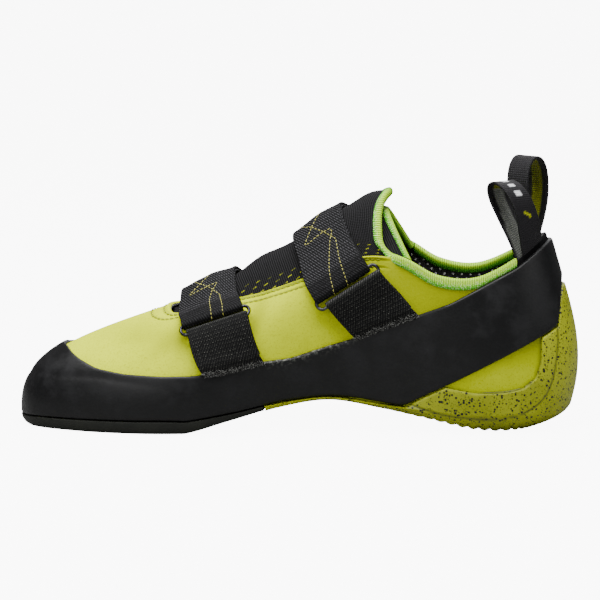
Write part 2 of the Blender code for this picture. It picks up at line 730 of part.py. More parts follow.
def folded_layer(column, runs, bar_run, centre, normal, lift_far, lift_near):
    """Points of one layer along a taut line, drawn to the ring's bar as it nears it."""
    weight = ease(np.abs(runs - bar_run), FLARE)[:, None]
    pull = centre - normal * BAR_HEIGHT - along_line(column, bar_run, "points")
    out = unit(along_line(column, runs, "normals") * (1 - weight) + normal * weight)
    lift = lift_far + (lift_near - lift_far) * weight
    return along_line(column, runs, "points") + out * lift + pull * weight


def fold(centre, normal, direction, count=5):
    """Half turn round a bar, from below it to above it, on the side that direction gives."""
    turn = np.linspace(0, math.pi, count + 2)[1:-1, None]
    return centre + FOLD_RADIUS * (direction * np.sin(turn) - normal * np.cos(turn))


def strap_grid(strap, low_count=18, high_count=11, columns=4):
    """Middle surface of a strap: from the outer rand over the crest, round the ring and back."""
    bar, sideways, downhill, normal = ring_frame(strap)
    offsets = np.linspace(-STRAP_WIDTH / 2, STRAP_WIDTH / 2, columns)
    grid = []
    for column, offset in zip(webbing_columns(strap, STRAP_WIDTH, columns), offsets):
        centre = bar + sideways * offset
        low = np.linspace(meeting_run(column, RAND_TOP_OUTER, True), column["bar"], low_count)
        high = np.linspace(column["bar"], column["peak"] + strap["tail"], high_count)
        under = folded_layer(column, low, column["bar"], centre, normal, UNDER_LAYER, UNDER_LAYER)
        over = folded_layer(column, high, column["bar"], centre, normal, OVER_LAYER,
                            BAR_HEIGHT + FOLD_RADIUS)
        grid.append(np.concatenate([under, fold(centre, normal, downhill), over]))
    return np.stack(grid, 1)


def anchor_grid(strap, count=8, columns=4):
    """Middle surface of an anchor: up from the inner rand, round the lower ring bar and back."""
    bar, sideways, downhill, normal = ring_frame(strap)
    offsets = np.linspace(-ANCHOR_WIDTH / 2, ANCHOR_WIDTH / 2, columns)
    grid = []
    for column, offset in zip(webbing_columns(strap, ANCHOR_WIDTH, columns), offsets):
        centre = bar + sideways * offset + downhill * RING_BARS
        top = column["bar"] - RING_BARS
        low = np.linspace(meeting_run(column, RAND_TOP_INNER, False), top, count)
        under = folded_layer(column, low, top, centre, normal, UNDER_LAYER, UNDER_LAYER)
        over = folded_layer(column, low, top, centre, normal, OVER_LAYER,
                            BAR_HEIGHT + FOLD_RADIUS)
        grid.append(np.concatenate([under, fold(centre, normal, -downhill), over[::-1]]))
    return np.stack(grid, 1)


def ring_path(strap):
    """Middle line of a ring: two bars and two round ends."""
    bar, sideways, downhill, _ = ring_frame(strap)
    half = ANCHOR_WIDTH / 2 + GAP + RING_WIRE / 2 + RING_CORNER / 2
    centre = bar + downhill * RING_BARS / 2
    turn = np.linspace(-math.pi / 2, math.pi / 2, 7)
    right = [(half - RING_CORNER + RING_CORNER * math.cos(a), RING_BARS / 2 * math.sin(a))
             for a in turn]
    outline = right + [(-x, -y) for x, y in right]
    return np.array([centre + sideways * x + downhill * y for x, y in outline])


def wire(name, points, thickness, collection):
    """A closed wire along points."""
    curve = bpy.data.curves.new(name, "CURVE")
    curve.dimensions = "3D"
    curve.bevel_depth = thickness / 2 * MM
    curve.bevel_resolution = 1
    spline = curve.splines.new("POLY")
    spline.points.add(len(points) - 1)
    for target, point in zip(spline.points, points):
        target.co = (*(point * MM), 1.0)
    spline.use_cyclic_u = True
    made = bpy.data.objects.new(name, curve)
    curve.materials.append(material(name, "steel"))
    collection.objects.link(made)
    return made


def pull_loop_grid(loop, count=15):
    """Middle surface of a heel loop: up from inside the collar, over and down to the rand."""
    station = loop["station"]
    top = wall(np.array([station]), np.ones(1))[0]
    level = unit(wall_normal(np.array([station]), np.ones(1))[0] * [1, 1, 0])
    step = 0.1
    ends = wall(np.array([station - step, station + step]), np.ones(2))
    pace = np.linalg.norm(ends[1] - ends[0]) / (2 * step)
    flat = unit((ends[1] - ends[0]) * [1, 1, 0])
    inner_foot = -(UPPER_WALL + 2 * GAP + BINDING_WALL + WEBBING_THICKNESS / 2)
    outer_foot = GAP + WEBBING_THICKNESS / 2
    turn = np.linspace(0, math.pi, count)
    up = np.sin(turn)
    blend = np.clip(1.8 * up, 0, 1)[:, None]
    foot = inner_foot + (outer_foot - inner_foot) * turn / math.pi
    out = (foot - loop["opening"] * np.cos(turn) * up)[:, None]
    sunk = np.where(turn < math.pi / 2, loop["tuck"], -2 * GAP) * (1 - up) ** 6
    rise = np.stack([loop["lean"] * LENGTH * up, 0 * up,
                     loop["height"] * HEEL_HEIGHT * up - sunk], -1)
    columns = []
    for share in (-0.5, -0.25, 0.0, 0.25, 0.5):
        where = np.array([station + share * LOOP_WEBBING / pace])
        edge = wall(where, np.ones(1))[0]
        normal = wall_normal(where, np.ones(1))[0]
        curved = edge + normal * out
        straight = top + flat * share * LOOP_WEBBING + level * out
        columns.append(curved + (straight - curved) * blend + rise)
    return np.stack(columns, 1)


def stand_on_floor(collection):
    """Puts the shoe's box over the origin, with its lowest point at floor height."""
    points = np.array([corner.co for piece in collection.objects if piece.type == "MESH"
                       for corner in piece.data.vertices])
    low, high = points.min(0), points.max(0)
    shift = [-(low[0] + high[0]) / 2, -(low[1] + high[1]) / 2, -low[2]]
    for piece in collection.objects:
        piece.location = shift


def build():
    for old in list(bpy.data.objects):
        bpy.data.objects.remove(old, do_unlink=True)
    collection = bpy.data.collections.new(NAME)
    bpy.context.scene.collection.children.link(collection)
    place("upper", "upper", *upper_solid(), collection)
    place("rand", "rand", *rand_solid(), collection)
    place("forefoot_sole", "forefoot_sole", *forefoot_sole_solid(), collection)
    place("heel_rubber", "heel_rubber", *heel_rubber_solid(), collection)
    place("insole", "insole", *insole_solid(), collection)
    place("tongue", "tongue", *shell(*slab(tongue_grid(), ELASTIC_WALL)), collection)
    place("inner_tongue", "tongue", *shell(*slab(inner_tongue_grid(), ELASTIC_WALL)), collection)
    place("collar_binding_inner", "binding", *shell(*collar_edging(False)), collection)
    place("collar_binding_outer", "binding", *shell(*collar_edging(True)), collection)
    place("tongue_binding", "binding", *shell(*flap_edging(tongue_grid(), 3)), collection)
    place("inner_tongue_binding", "binding", *shell(*flap_edging(inner_tongue_grid(), 2)),
          collection)
    for name, strap in STRAPS.items():
        place("strap_" + name, "webbing", *shell(*slab(strap_grid(strap), WEBBING_THICKNESS)),
              collection)
        place("anchor_" + name, "webbing", *shell(*slab(anchor_grid(strap), WEBBING_THICKNESS)),
              collection)
        wire("ring_" + name, ring_path(strap), RING_WIRE, collection)
    for name, loop in PULL_LOOPS.items():
        place(name, "webbing", *shell(*slab(pull_loop_grid(loop), WEBBING_THICKNESS)), collection)
    stand_on_floor(collection)


build()
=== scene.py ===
# Climbing shoe, right foot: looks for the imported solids. Toe towards -X, heel towards +X,
# inner side towards -Y. Shapes are worked out in millimetres and become metres in the meshes.
import math

import bmesh
import bpy
import numpy as np
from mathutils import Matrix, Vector


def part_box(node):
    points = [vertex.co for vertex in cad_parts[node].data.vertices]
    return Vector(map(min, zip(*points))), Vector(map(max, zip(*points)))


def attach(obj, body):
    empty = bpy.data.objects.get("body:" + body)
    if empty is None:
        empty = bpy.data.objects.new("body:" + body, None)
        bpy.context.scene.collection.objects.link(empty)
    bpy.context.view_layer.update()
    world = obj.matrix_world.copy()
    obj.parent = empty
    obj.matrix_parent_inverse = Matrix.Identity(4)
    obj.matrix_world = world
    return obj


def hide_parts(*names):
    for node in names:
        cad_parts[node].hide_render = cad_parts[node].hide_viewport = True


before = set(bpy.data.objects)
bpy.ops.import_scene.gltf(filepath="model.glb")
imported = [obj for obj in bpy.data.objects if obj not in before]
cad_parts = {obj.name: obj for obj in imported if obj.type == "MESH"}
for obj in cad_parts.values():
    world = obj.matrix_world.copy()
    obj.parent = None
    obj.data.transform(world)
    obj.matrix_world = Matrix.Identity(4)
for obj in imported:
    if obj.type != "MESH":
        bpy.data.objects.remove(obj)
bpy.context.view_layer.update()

mm = 0.001
chance = np.random.default_rng(11)


# Camera and lights

view = {"turn": 4.0, "rise": 8.0, "distance": 1200.0, "lens": 150.0, "sensor": 36.0, "far": 20.0,
        "aim": (0.0, 0.0, 58.0)}


def placeCamera():
    # The lens stands turned and raised round the point that it looks at
    turn, rise = math.radians(view["turn"]), math.radians(view["rise"])
    back = Vector((math.sin(turn) * math.cos(rise), -math.cos(turn) * math.cos(rise), math.sin(rise)))
    lens = bpy.data.cameras.new("shoeCamera")
    lens.lens = view["lens"]
    lens.sensor_width = view["sensor"]
    lens.clip_end = view["far"]
    camera = bpy.data.objects.new("shoeCamera", lens)
    camera.location = (Vector(view["aim"]) + back * view["distance"]) * mm
    camera.rotation_euler = back.to_track_quat("Z", "Y").to_euler()
    bpy.context.scene.collection.objects.link(camera)
    bpy.context.scene.camera = camera


floorLook = {"reach": 30.0, "below": 0.2, "glow": 9.0}
roomLook = {"seen": 9.0, "light": 0.13, "lampAim": 0.05}
lamps = {
    "top": {"at": (-0.1, -0.15, 1.1), "size": 1.0, "power": 30.0},
    "front": {"at": (-0.45, -1.1, 0.6), "size": 0.8, "power": 4.4},
    "heelSide": {"at": (1.0, -0.55, 0.55), "size": 0.6, "power": 2.6},
    "rim": {"at": (0.25, 1.0, 0.7), "size": 0.8, "power": 4.5},
}


def placeLights():
    # A room and area lamps, each lamp turned to a point a little above the floor
    world = bpy.data.worlds.new("paleRoom")
    world.use_nodes = True
    # The camera sees a white room, the shoe is lit by a dimmer one
    tree = world.node_tree
    room = tree.nodes["Background"]
    room.inputs["Color"].default_value = (1, 1, 1, 1)
    sight = tree.nodes.new("ShaderNodeLightPath")
    level = tree.nodes.new("ShaderNodeMapRange")
    level.inputs["To Min"].default_value = roomLook["light"]
    level.inputs["To Max"].default_value = roomLook["seen"]
    tree.links.new(sight.outputs["Is Camera Ray"], level.inputs["Value"])
    tree.links.new(level.outputs[0], room.inputs["Strength"])
    bpy.context.scene.world = world
    for name, lamp in lamps.items():
        light = bpy.data.lights.new(name, "AREA")
        light.size = lamp["size"]
        light.energy = lamp["power"]
        holder = bpy.data.objects.new(name, light)
        holder.location = lamp["at"]
        aim = Vector(lamp["at"]) - Vector((0, 0, roomLook["lampAim"]))
        holder.rotation_euler = aim.to_track_quat("Z", "Y").to_euler()
        bpy.context.scene.collection.objects.link(holder)


placeCamera()
placeLights()
print("camera and lights placed")


# The last that every piece is worked out from, the same one that the solids have

shoe = {
    "length": 268.0, "ballWidth": 96.0, "heelHeight": 92.0, "archHeight": 14.4,
    "soleThickness": 6.6, "upperWall": 1.8, "randWall": 1.8, "heelWall": 3.3,
    "insoleThickness": 2.6, "elasticWall": 1.2, "webbingWall": 1.2, "strapWidth": 30.0,
    "anchorWidth": 29.8, "ringWire": 1.6, "ringCorner": 2.4, "gap": 0.3,
    "jointStation": 7.25, "stationPace": 0.08, "lean": 0.2,
}
sectionColumns = ("edgeX", "edgeY", "under", "sole", "topX", "topY", "topZ",
                  "rise", "swell", "drop", "shoulder", "roll")
heelBack = (0.472, 0.000, -0.03, 1.95, 0.435, 0.000, 1.000, 0.33, 0.083, 0.41, 0.097, 0.270)
toeTip = (-0.491, -0.110, 0.07, 0.56, -0.234, 0.005, 0.600, 0.50, 0.016, 0.34, 0.573, 0.030)
innerSections = (
    (0.448, 0.156, -0.03, 1.75, 0.420, 0.130, 0.962, 0.33, 0.078, 0.40, 0.089, 0.230),
    (0.392, 0.260, -0.03, 1.60, 0.381, 0.224, 0.875, 0.33, 0.057, 0.38, 0.057, 0.140),
    (0.313, 0.297, 0.08, 1.38, 0.313, 0.276, 0.783, 0.35, 0.047, 0.35, 0.047, 0.090),
    (0.231, 0.292, 0.43, 0.80, 0.246, 0.286, 0.793, 0.35, 0.042, 0.35, 0.036, 0.060),
    (0.149, 0.271, 0.75, 0.38, 0.179, 0.271, 0.886, 0.35, 0.042, 0.33, 0.036, 0.045),
    (0.056, 0.260, 1.00, 0.29, 0.104, 0.245, 0.891, 0.38, 0.042, 0.30, 0.062, 0.040),
    (-0.037, 0.292, 0.75, 0.38, 0.015, 0.214, 0.783, 0.42, 0.042, 0.25, 0.104, 0.035),
    (-0.119, 0.370, 0.37, 0.60, -0.067, 0.182, 0.696, 0.45, 0.042, 0.20, 0.156, 0.030),
    (-0.205, 0.438, -0.03, 1.00, -0.149, 0.135, 0.633, 0.48, 0.042, 0.16, 0.177, 0.030),
    (-0.291, 0.443, -0.03, 1.00, -0.198, 0.112, 0.590, 0.50, 0.036, 0.18, 0.229, 0.030),
    (-0.384, 0.388, -0.03, 0.95, -0.220, 0.088, 0.572, 0.50, 0.031, 0.24, 0.333, 0.030),
    (-0.466, 0.275, -0.01, 0.85, -0.231, 0.050, 0.582, 0.50, 0.021, 0.32, 0.500, 0.030),
)
outerSections = (
    (0.448, 0.156, -0.03, 1.75, 0.420, 0.130, 0.962, 0.33, 0.078, 0.40, 0.089, 0.230),
    (0.392, 0.265, -0.03, 1.60, 0.381, 0.224, 0.875, 0.33, 0.057, 0.38, 0.057, 0.140),
    (0.313, 0.307, 0.06, 1.40, 0.313, 0.276, 0.790, 0.35, 0.047, 0.35, 0.047, 0.090),
    (0.231, 0.328, 0.29, 0.95, 0.246, 0.286, 0.815, 0.35, 0.042, 0.35, 0.042, 0.060),
    (0.149, 0.359, 0.45, 0.70, 0.179, 0.276, 0.920, 0.35, 0.042, 0.33, 0.052, 0.045),
    (0.056, 0.401, 0.52, 0.65, 0.104, 0.250, 0.910, 0.36, 0.036, 0.30, 0.083, 0.040),
    (-0.037, 0.443, 0.42, 0.70, 0.015, 0.219, 0.785, 0.38, 0.031, 0.27, 0.125, 0.035),
    (-0.119, 0.474, 0.21, 0.80, -0.067, 0.188, 0.696, 0.40, 0.031, 0.24, 0.167, 0.030),
    (-0.205, 0.458, -0.03, 1.00, -0.149, 0.141, 0.631, 0.42, 0.031, 0.22, 0.188, 0.030),
    (-0.291, 0.385, -0.03, 1.00, -0.198, 0.112, 0.611, 0.44, 0.031, 0.26, 0.229, 0.030),
    (-0.392, 0.232, -0.03, 0.95, -0.220, 0.085, 0.609, 0.46, 0.026, 0.32, 0.333, 0.030),
    (-0.462, 0.065, -0.01, 0.85, -0.231, 0.045, 0.607, 0.48, 0.021, 0.34, 0.479, 0.030),
)
# Edges across the wall: place (share of length) and height (share of heelHeight)
randTopInner = ((-0.500, 0.42), (-0.437, 0.402), (-0.410, 0.395), (-0.381, 0.355),
                (-0.350, 0.320), (-0.299, 0.300), (-0.230, 0.293), (-0.175, 0.298),
                (-0.127, 0.315), (-0.062, 0.362), (-0.011, 0.378), (0.060, 0.446),
                (0.097, 0.478), (0.209, 0.603), (0.269, 0.667), (0.381, 0.840),
                (0.437, 0.966), (0.500, 0.980))
randTopOuter = ((-0.500, 0.42), (-0.437, 0.402), (-0.400, 0.380), (-0.350, 0.335),
                (-0.299, 0.310), (-0.230, 0.300), (-0.127, 0.315), (-0.011, 0.378),
                (0.097, 0.478), (0.209, 0.603), (0.269, 0.667), (0.381, 0.840),
                (0.437, 0.966), (0.500, 0.980))
randLow = ((-0.500, 0.000), (-0.056, 0.000), (-0.040, 0.150), (0.056, 0.180),
           (0.104, 0.173), (0.187, 0.134), (0.226, 0.196), (0.272, 0.261),
           (0.365, 0.400), (0.424, 0.490), (0.452, 0.540), (0.458, 0.770), (0.500, 0.790))
heelPanel = ((0.000, 0.30), (0.200, 0.30), (0.254, 0.245), (0.310, 0.213), (0.365, 0.220),
             (0.396, 0.236), (0.416, 0.285), (0.424, 0.350), (0.428, 0.600), (0.500, 0.900))


def sectionLoop():
    inner, outer = np.array(innerSections), np.array(outerSections)[::-1]
    inner[:, [1, 5]] *= -1
    return np.vstack([heelBack, inner, toeTip, outer])


loopRows = sectionLoop()
stationCount = len(loopRows)
halfCount = stationCount // 2


def catmull(rows, position, closed=False):
    # Catmull-Rom: p1 + t/2 (p2 - p0 + t (2 p0 - 5 p1 + 4 p2 - p3 + t (3 (p1 - p2) + p3 - p0)))
    rows, position = np.asarray(rows, float), np.asarray(position, float)
    base = np.floor(position).astype(int)
    if not closed:
        base = np.clip(base, 0, len(rows) - 2)
    t = (position - base)[..., None]

    def row(step):
        return rows[(base + step) % len(rows)] if closed else rows[np.clip(base + step, 0, len(rows) - 1)]

    p0, p1, p2, p3 = row(-1), row(0), row(1), row(2)
    return p1 + 0.5 * t * (p2 - p0 + t * (2 * p0 - 5 * p1 + 4 * p2 - p3 + t * (3 * (p1 - p2) + p3 - p0)))


def unit(vectors):
    return vectors / np.maximum(np.linalg.norm(vectors, axis=-1, keepdims=True), 1e-9)


def sections(stations):
    # The table's columns at any station, with the sole's edge and the top line as points
    values = catmull(loopRows, stations, closed=True)
    row = dict(zip(sectionColumns, np.moveaxis(values, -1, 0)))
    under = np.maximum(row["under"], 0) * shoe["archHeight"]
    edge = np.stack([row["edgeX"] * shoe["length"], row["edgeY"] * shoe["ballWidth"],
                     under + row["sole"] * shoe["soleThickness"]], -1)
    top = np.stack([row["topX"] * shoe["length"], row["topY"] * shoe["ballWidth"],
                    row["topZ"] * shoe["heelHeight"]], -1)
    return row, under, edge, top


def outward(stations):
    # Level direction square to the sole's edge
    tangent = sections(stations + 0.05)[2] - sections(stations - 0.05)[2]
    return -unit(np.stack([tangent[..., 1], -tangent[..., 0], 0 * tangent[..., 0]], -1))


def wall(stations, shares):
    # Cubic Bezier up a section: sole edge, edge + swell, top + shoulder, top line
    row, _, edge, top = sections(stations)
    out, up = outward(stations), np.array([0.0, 0.0, 1.0])
    height = (top - edge)[..., 2:]
    lean = unit((edge - top) * [1, 1, 0] + shoe["lean"] * shoe["ballWidth"] * out)
    low = edge + out * row["swell"][..., None] * shoe["ballWidth"] + up * row["rise"][..., None] * height
    high = top + lean * row["shoulder"][..., None] * shoe["ballWidth"] - up * row["drop"][..., None] * height
    w = np.asarray(shares)[..., None]
    return (1 - w) ** 3 * edge + 3 * (1 - w) ** 2 * w * low + 3 * (1 - w) * w ** 2 * high + w ** 3 * top


def wallNormal(stations, shares):
    # rise x along, from differences of 0.02 in share and station
    along = wall(stations + 0.02, shares) - wall(stations - 0.02, shares)
    rise = wall(stations, np.minimum(shares + 0.02, 1)) - wall(stations, np.maximum(shares - 0.02, 0))
    return unit(np.cross(rise, along))


def layer(stations, shares, offset):
    # The wall moved out along its normal
    return wall(stations, shares) + wallNormal(stations, shares) * np.asarray(offset, float)[..., None]


def wallLength(stations):
    # Sum of 30 chords up the wall at each station
    shares = np.linspace(0, 1, 31)
    line = wall(stations[:, None] + 0 * shares, shares + 0 * stations[:, None])
    return np.linalg.norm(np.diff(line, axis=1), axis=-1).sum(1)


def heightAt(x, table):
    # Height that an edge's table gives for places along the shoe
    rows = np.array(table) * [shoe["length"], shoe["heelHeight"]]
    return np.interp(x, rows[:, 0], rows[:, 1])


def heightShare(stations, table, other=None):
    # Share at which the wall first rises past the height that the table gives for its place
    samples = np.linspace(0, 1, 241)
    grid = wall(stations[:, None] + 0 * samples, samples + 0 * stations[:, None])
    target = heightAt(grid[..., 0], table)
    if other is not None:
        target = np.where(grid[..., 1].mean(1, keepdims=True) > 0, heightAt(grid[..., 0], other), target)
    over = grid[..., 2] - target
    first = np.where((over >= 0).any(1), (over >= 0).argmax(1), len(samples) - 1)
    here, before = over[np.arange(len(first)), first], over[np.arange(len(first)), np.maximum(first - 1, 0)]
    back = np.where(first > 0, here / np.maximum(here - before, 1e-6), 0)
    return np.clip(samples[first] - np.clip(back, 0, 1) * samples[1], 0, 1)


def smoothed(values, passes, ring=True):
    # Each pass is the mean of a value (twice) and its two neighbours
    for _ in range(passes):
        if ring:
            values = (np.roll(values, 1, 0) + 2 * values + np.roll(values, -1, 0)) / 4
        else:
            values = np.concatenate([values[:1], (values[:-2] + 2 * values[1:-1] + values[2:]) / 4,
                                     values[-1:]])
    return values


def ease(distance, length):
    # From 1 at no distance down to 0 at the length: 1 - t^2 (3 - 2 t)
    part = np.clip(distance / length, 0, 1)
    return 1 - part * part * (3 - 2 * part)


solidShares = np.array([0.0, 0.17, 0.34, 0.51, 0.68, 0.83, 0.94, 1.0])


def solidShift():
    # How far the solids were moved to stand over the origin, from the upper's box
    side = np.sort(np.append(np.concatenate([np.arange(0, 3, 0.25), np.arange(3, halfCount + 0.01, 0.5)]),
                             shoe["jointStation"]))
    stations = np.concatenate([side, stationCount - side[-2:0:-1]])
    grid = wall(stations[:, None] + 0 * solidShares, solidShares + 0 * stations[:, None]).reshape(-1, 3)
    low, high = (np.array(corner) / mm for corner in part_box("upper"))
    middle = (low + high) / 2 - (grid.min(0) + grid.max(0)) / 2
    return np.array([middle[0], middle[1], 0.0])


shift = solidShift()
print("last worked out, shifted by", shift.round(2))


# Meshes from grids

def runs(grid):
    # Arc lengths along the rows and along the columns of a grid, in millimetres
    alongRows = np.concatenate([np.zeros((1,) + grid.shape[1:2]),
                                np.linalg.norm(np.diff(grid, axis=0), axis=-1).cumsum(0)])
    alongColumns = np.concatenate([np.zeros((grid.shape[0], 1)),
                                   np.linalg.norm(np.diff(grid, axis=1), axis=-1).cumsum(1)], 1)
    return alongRows.mean(1, keepdims=True) + 0 * alongRows, alongColumns


def gridNormals(grid):
    # Unit vector of du x dv
    return unit(np.cross(np.gradient(grid, axis=0), np.gradient(grid, axis=1)))


def fillMesh(name, points, corners, cloth=None, masks=None, sharp=40, merge=0.02):
    # A mesh with the cloth's lengths as uv and masks as attributes; points within merge become one
    mesh = bpy.data.meshes.new(name)
    mesh.vertices.add(len(points))
    mesh.vertices.foreach_set("co", ((points + shift) * mm).astype(np.float32).ravel())
    mesh.loops.add(corners.size)
    mesh.loops.foreach_set("vertex_index", corners.astype(np.int32).ravel())
    mesh.polygons.add(len(corners))
    mesh.polygons.foreach_set("loop_start", np.arange(0, corners.size, corners.shape[1], dtype=np.int32))
    if cloth is not None:
        mesh.uv_layers.new(name="cloth").data.foreach_set("uv", cloth.astype(np.float32).ravel())
    for label, values in (masks or {}).items():
        mesh.attributes.new(label, "FLOAT", "POINT").data.foreach_set(
            "value", np.asarray(values, np.float32).ravel())
    mesh.update(calc_edges=True)
    work = bmesh.new()
    work.from_mesh(mesh)
    bmesh.ops.remove_doubles(work, verts=work.verts, dist=merge * mm)
    bmesh.ops.dissolve_degenerate(work, edges=work.edges, dist=0.5 * merge * mm)
    bmesh.ops.recalc_face_normals(work, faces=work.faces)
    work.to_mesh(mesh)
    work.free()
    mesh.shade_smooth()
    mesh.set_sharp_from_angle(angle=math.radians(sharp))
    piece = bpy.data.objects.new(name, mesh)
    bpy.context.scene.collection.objects.link(piece)
    return piece


def shell(name, outer, inner, ring=False, closeFirst=True, closeLast=True, masks=None, sharp=40, cloth=None):
    # The closed solid between two like grids, with a cloth map in millimetres along the outer one
    rows, columns = outer.shape[:2]

    def quads(*corners):
        # Each corner is a row, a column and a side: 0 outer, 1 inner
        return np.stack([np.stack(corner, -1) for corner in corners], 1)

    i, j = np.meshgrid(np.arange(rows if ring else rows - 1), np.arange(columns - 1), indexing="ij")
    i, j = i.ravel(), j.ravel()
    out, back = 0 * i, 0 * i + 1
    faces = [quads((i, j, out), (i + 1, j, out), (i + 1, j + 1, out), (i, j + 1, out)),
             quads((i, j, back), (i, j + 1, back), (i + 1, j + 1, back), (i + 1, j, back))]
    i = np.arange(rows if ring else rows - 1)
    out, back = 0 * i, 0 * i + 1
    for column in (0, columns - 1):
        j = 0 * i + column
        faces.append(quads((i, j, out), (i + 1, j, out), (i + 1, j, back), (i, j, back)))
    j = np.arange(columns - 1)
    out, back = 0 * j, 0 * j + 1
    for row, kept in ((0, closeFirst), (rows - 1, closeLast)):
        if kept and not ring:
            i = 0 * j + row
            faces.append(quads((i, j, out), (i, j + 1, out), (i, j + 1, back), (i, j, back)))
    corner = np.concatenate(faces)
    index = corner[..., 2] * rows * columns + (corner[..., 0] % rows) * columns + corner[..., 1]
    if cloth is None:
        closed = np.concatenate([outer, outer[:1]]) if ring else outer
        cloth = np.stack(runs(closed), -1)
    uv = cloth[corner[..., 0], corner[..., 1]]
    points = np.concatenate([outer.reshape(-1, 3), inner.reshape(-1, 3)])
    both = {label: values if isinstance(values, tuple) else (values, values)
            for label, values in (masks or {}).items()}
    masks = {label: np.concatenate([values.ravel() for values in pair]) for label, pair in both.items()}
    return fillMesh(name, points, index, uv, masks, sharp)


def slab(grid, thickness):
    # Both faces of a sheet: grid +- normal thickness / 2
    half = gridNormals(grid) * thickness / 2
    return grid + half, grid - half


def rounded(grid, thickness):
    # A slab whose long edges are rounded: half thickness sqrt(1 - q^2) over the last of its width
    run = runs(grid)[1]
    distance = np.minimum(run, run[:, -1:] - run)
    radius = thickness / 2
    q = np.clip(1 - distance / radius, 0, 1)
    half = gridNormals(grid) * (radius * (0.25 + 0.75 * np.sqrt(1 - q * q)))[..., None]
    return grid + half, grid - half


def edgeColumns(count, width, rim=0.6):
    # Shares across a band, with extra ones close to both edges
    inside = np.linspace(rim / width, 1 - rim / width, count)
    near = np.array([0.0, 0.3, 0.65]) * rim / width
    return np.concatenate([near, inside, 1 - near[::-1]])


def tubes(name, paths, normals, radii, sides=6, merge=0.01):
    # Round threads along paths (n, k, 3), with a radius for each point, closed at ends of radius 0
    tangent = unit(np.gradient(paths, axis=1))
    across = unit(np.cross(tangent, normals))
    up = np.cross(across, tangent)
    angle = np.linspace(0, 2 * math.pi, sides, endpoint=False)
    ringPoints = (across[:, :, None] * np.cos(angle)[:, None] + up[:, :, None] * np.sin(angle)[:, None])
    points = paths[:, :, None] + ringPoints * np.broadcast_to(radii, paths.shape[:2])[:, :, None, None]
    count, length = paths.shape[:2]
    n, k, s = np.meshgrid(np.arange(count), np.arange(length - 1), np.arange(sides), indexing="ij")
    n, k, s = n.ravel(), k.ravel(), s.ravel()
    places = ((k, s), (k + 1, s), (k + 1, s + 1), (k, s + 1))
    corners = np.stack([(n * length + a) * sides + b % sides for a, b in places], -1)
    cloth = np.stack([np.stack(place, -1) * 1.0 for place in places], 1)
    return fillMesh(name, points.reshape(-1, 3), corners, cloth, None, 60, merge)


def pathRun(path):
    # Arc length at each point of a polyline
    return np.concatenate([[0], np.linalg.norm(np.diff(path, axis=0), axis=1).cumsum()])


def pointsAt(where, run, path):
    # Points of a polyline at arc lengths
    return np.stack([np.interp(where, run, path[:, i]) for i in range(path.shape[1])], -1)


def resample(path, spacing, *others):
    # Points at an even spacing along a polyline, with what goes with them
    run = pathRun(path)
    even = np.linspace(0, run[-1], max(int(round(run[-1] / spacing)) + 1, 2))
    return [pointsAt(even, run, item) for item in (path,) + others]


def stitchPaths(path, normals, pitch=3.0, length=2.3, lift=0.22, sink=0.25, samples=7):
    # Arched threads: each goes under at both ends and stands up between them
    run = pathRun(path)
    count = max(int(run[-1] // pitch), 1)
    middle = (np.arange(count) + 0.5) * run[-1] / count
    part = np.linspace(-0.5, 0.5, samples)
    where = middle[:, None] + part * length
    out = unit(pointsAt(where, run, normals))
    arch = lift - (lift + sink) * (2 * np.abs(part)) ** 3
    return pointsAt(where, run, path) + out * arch[:, None], out


def threadRadii(radius, samples=7):
    # radius sqrt(1 - t^6), which closes both ends
    part = np.linspace(-1, 1, samples)
    return radius * np.sqrt(np.clip(1 - part ** 6, 0, 1))


def finishPiece(piece, material, slot, *nodes):
    # Material and body of a piece, and the nodes that it stands for, which are hidden; the slot is not used
    piece.data.materials.append(material)
    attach(piece, "root")
    if nodes:
        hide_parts(*nodes)
    return piece


# Materials

def paint(red, green, blue):
    # A screen colour from 0 to 255 as the linear one that shaders take
    values = np.array([red, green, blue]) / 255
    linear = np.where(values <= 0.04045, values / 12.92, ((values + 0.055) / 1.055) ** 2.4)
    return (*linear.tolist(), 1.0)


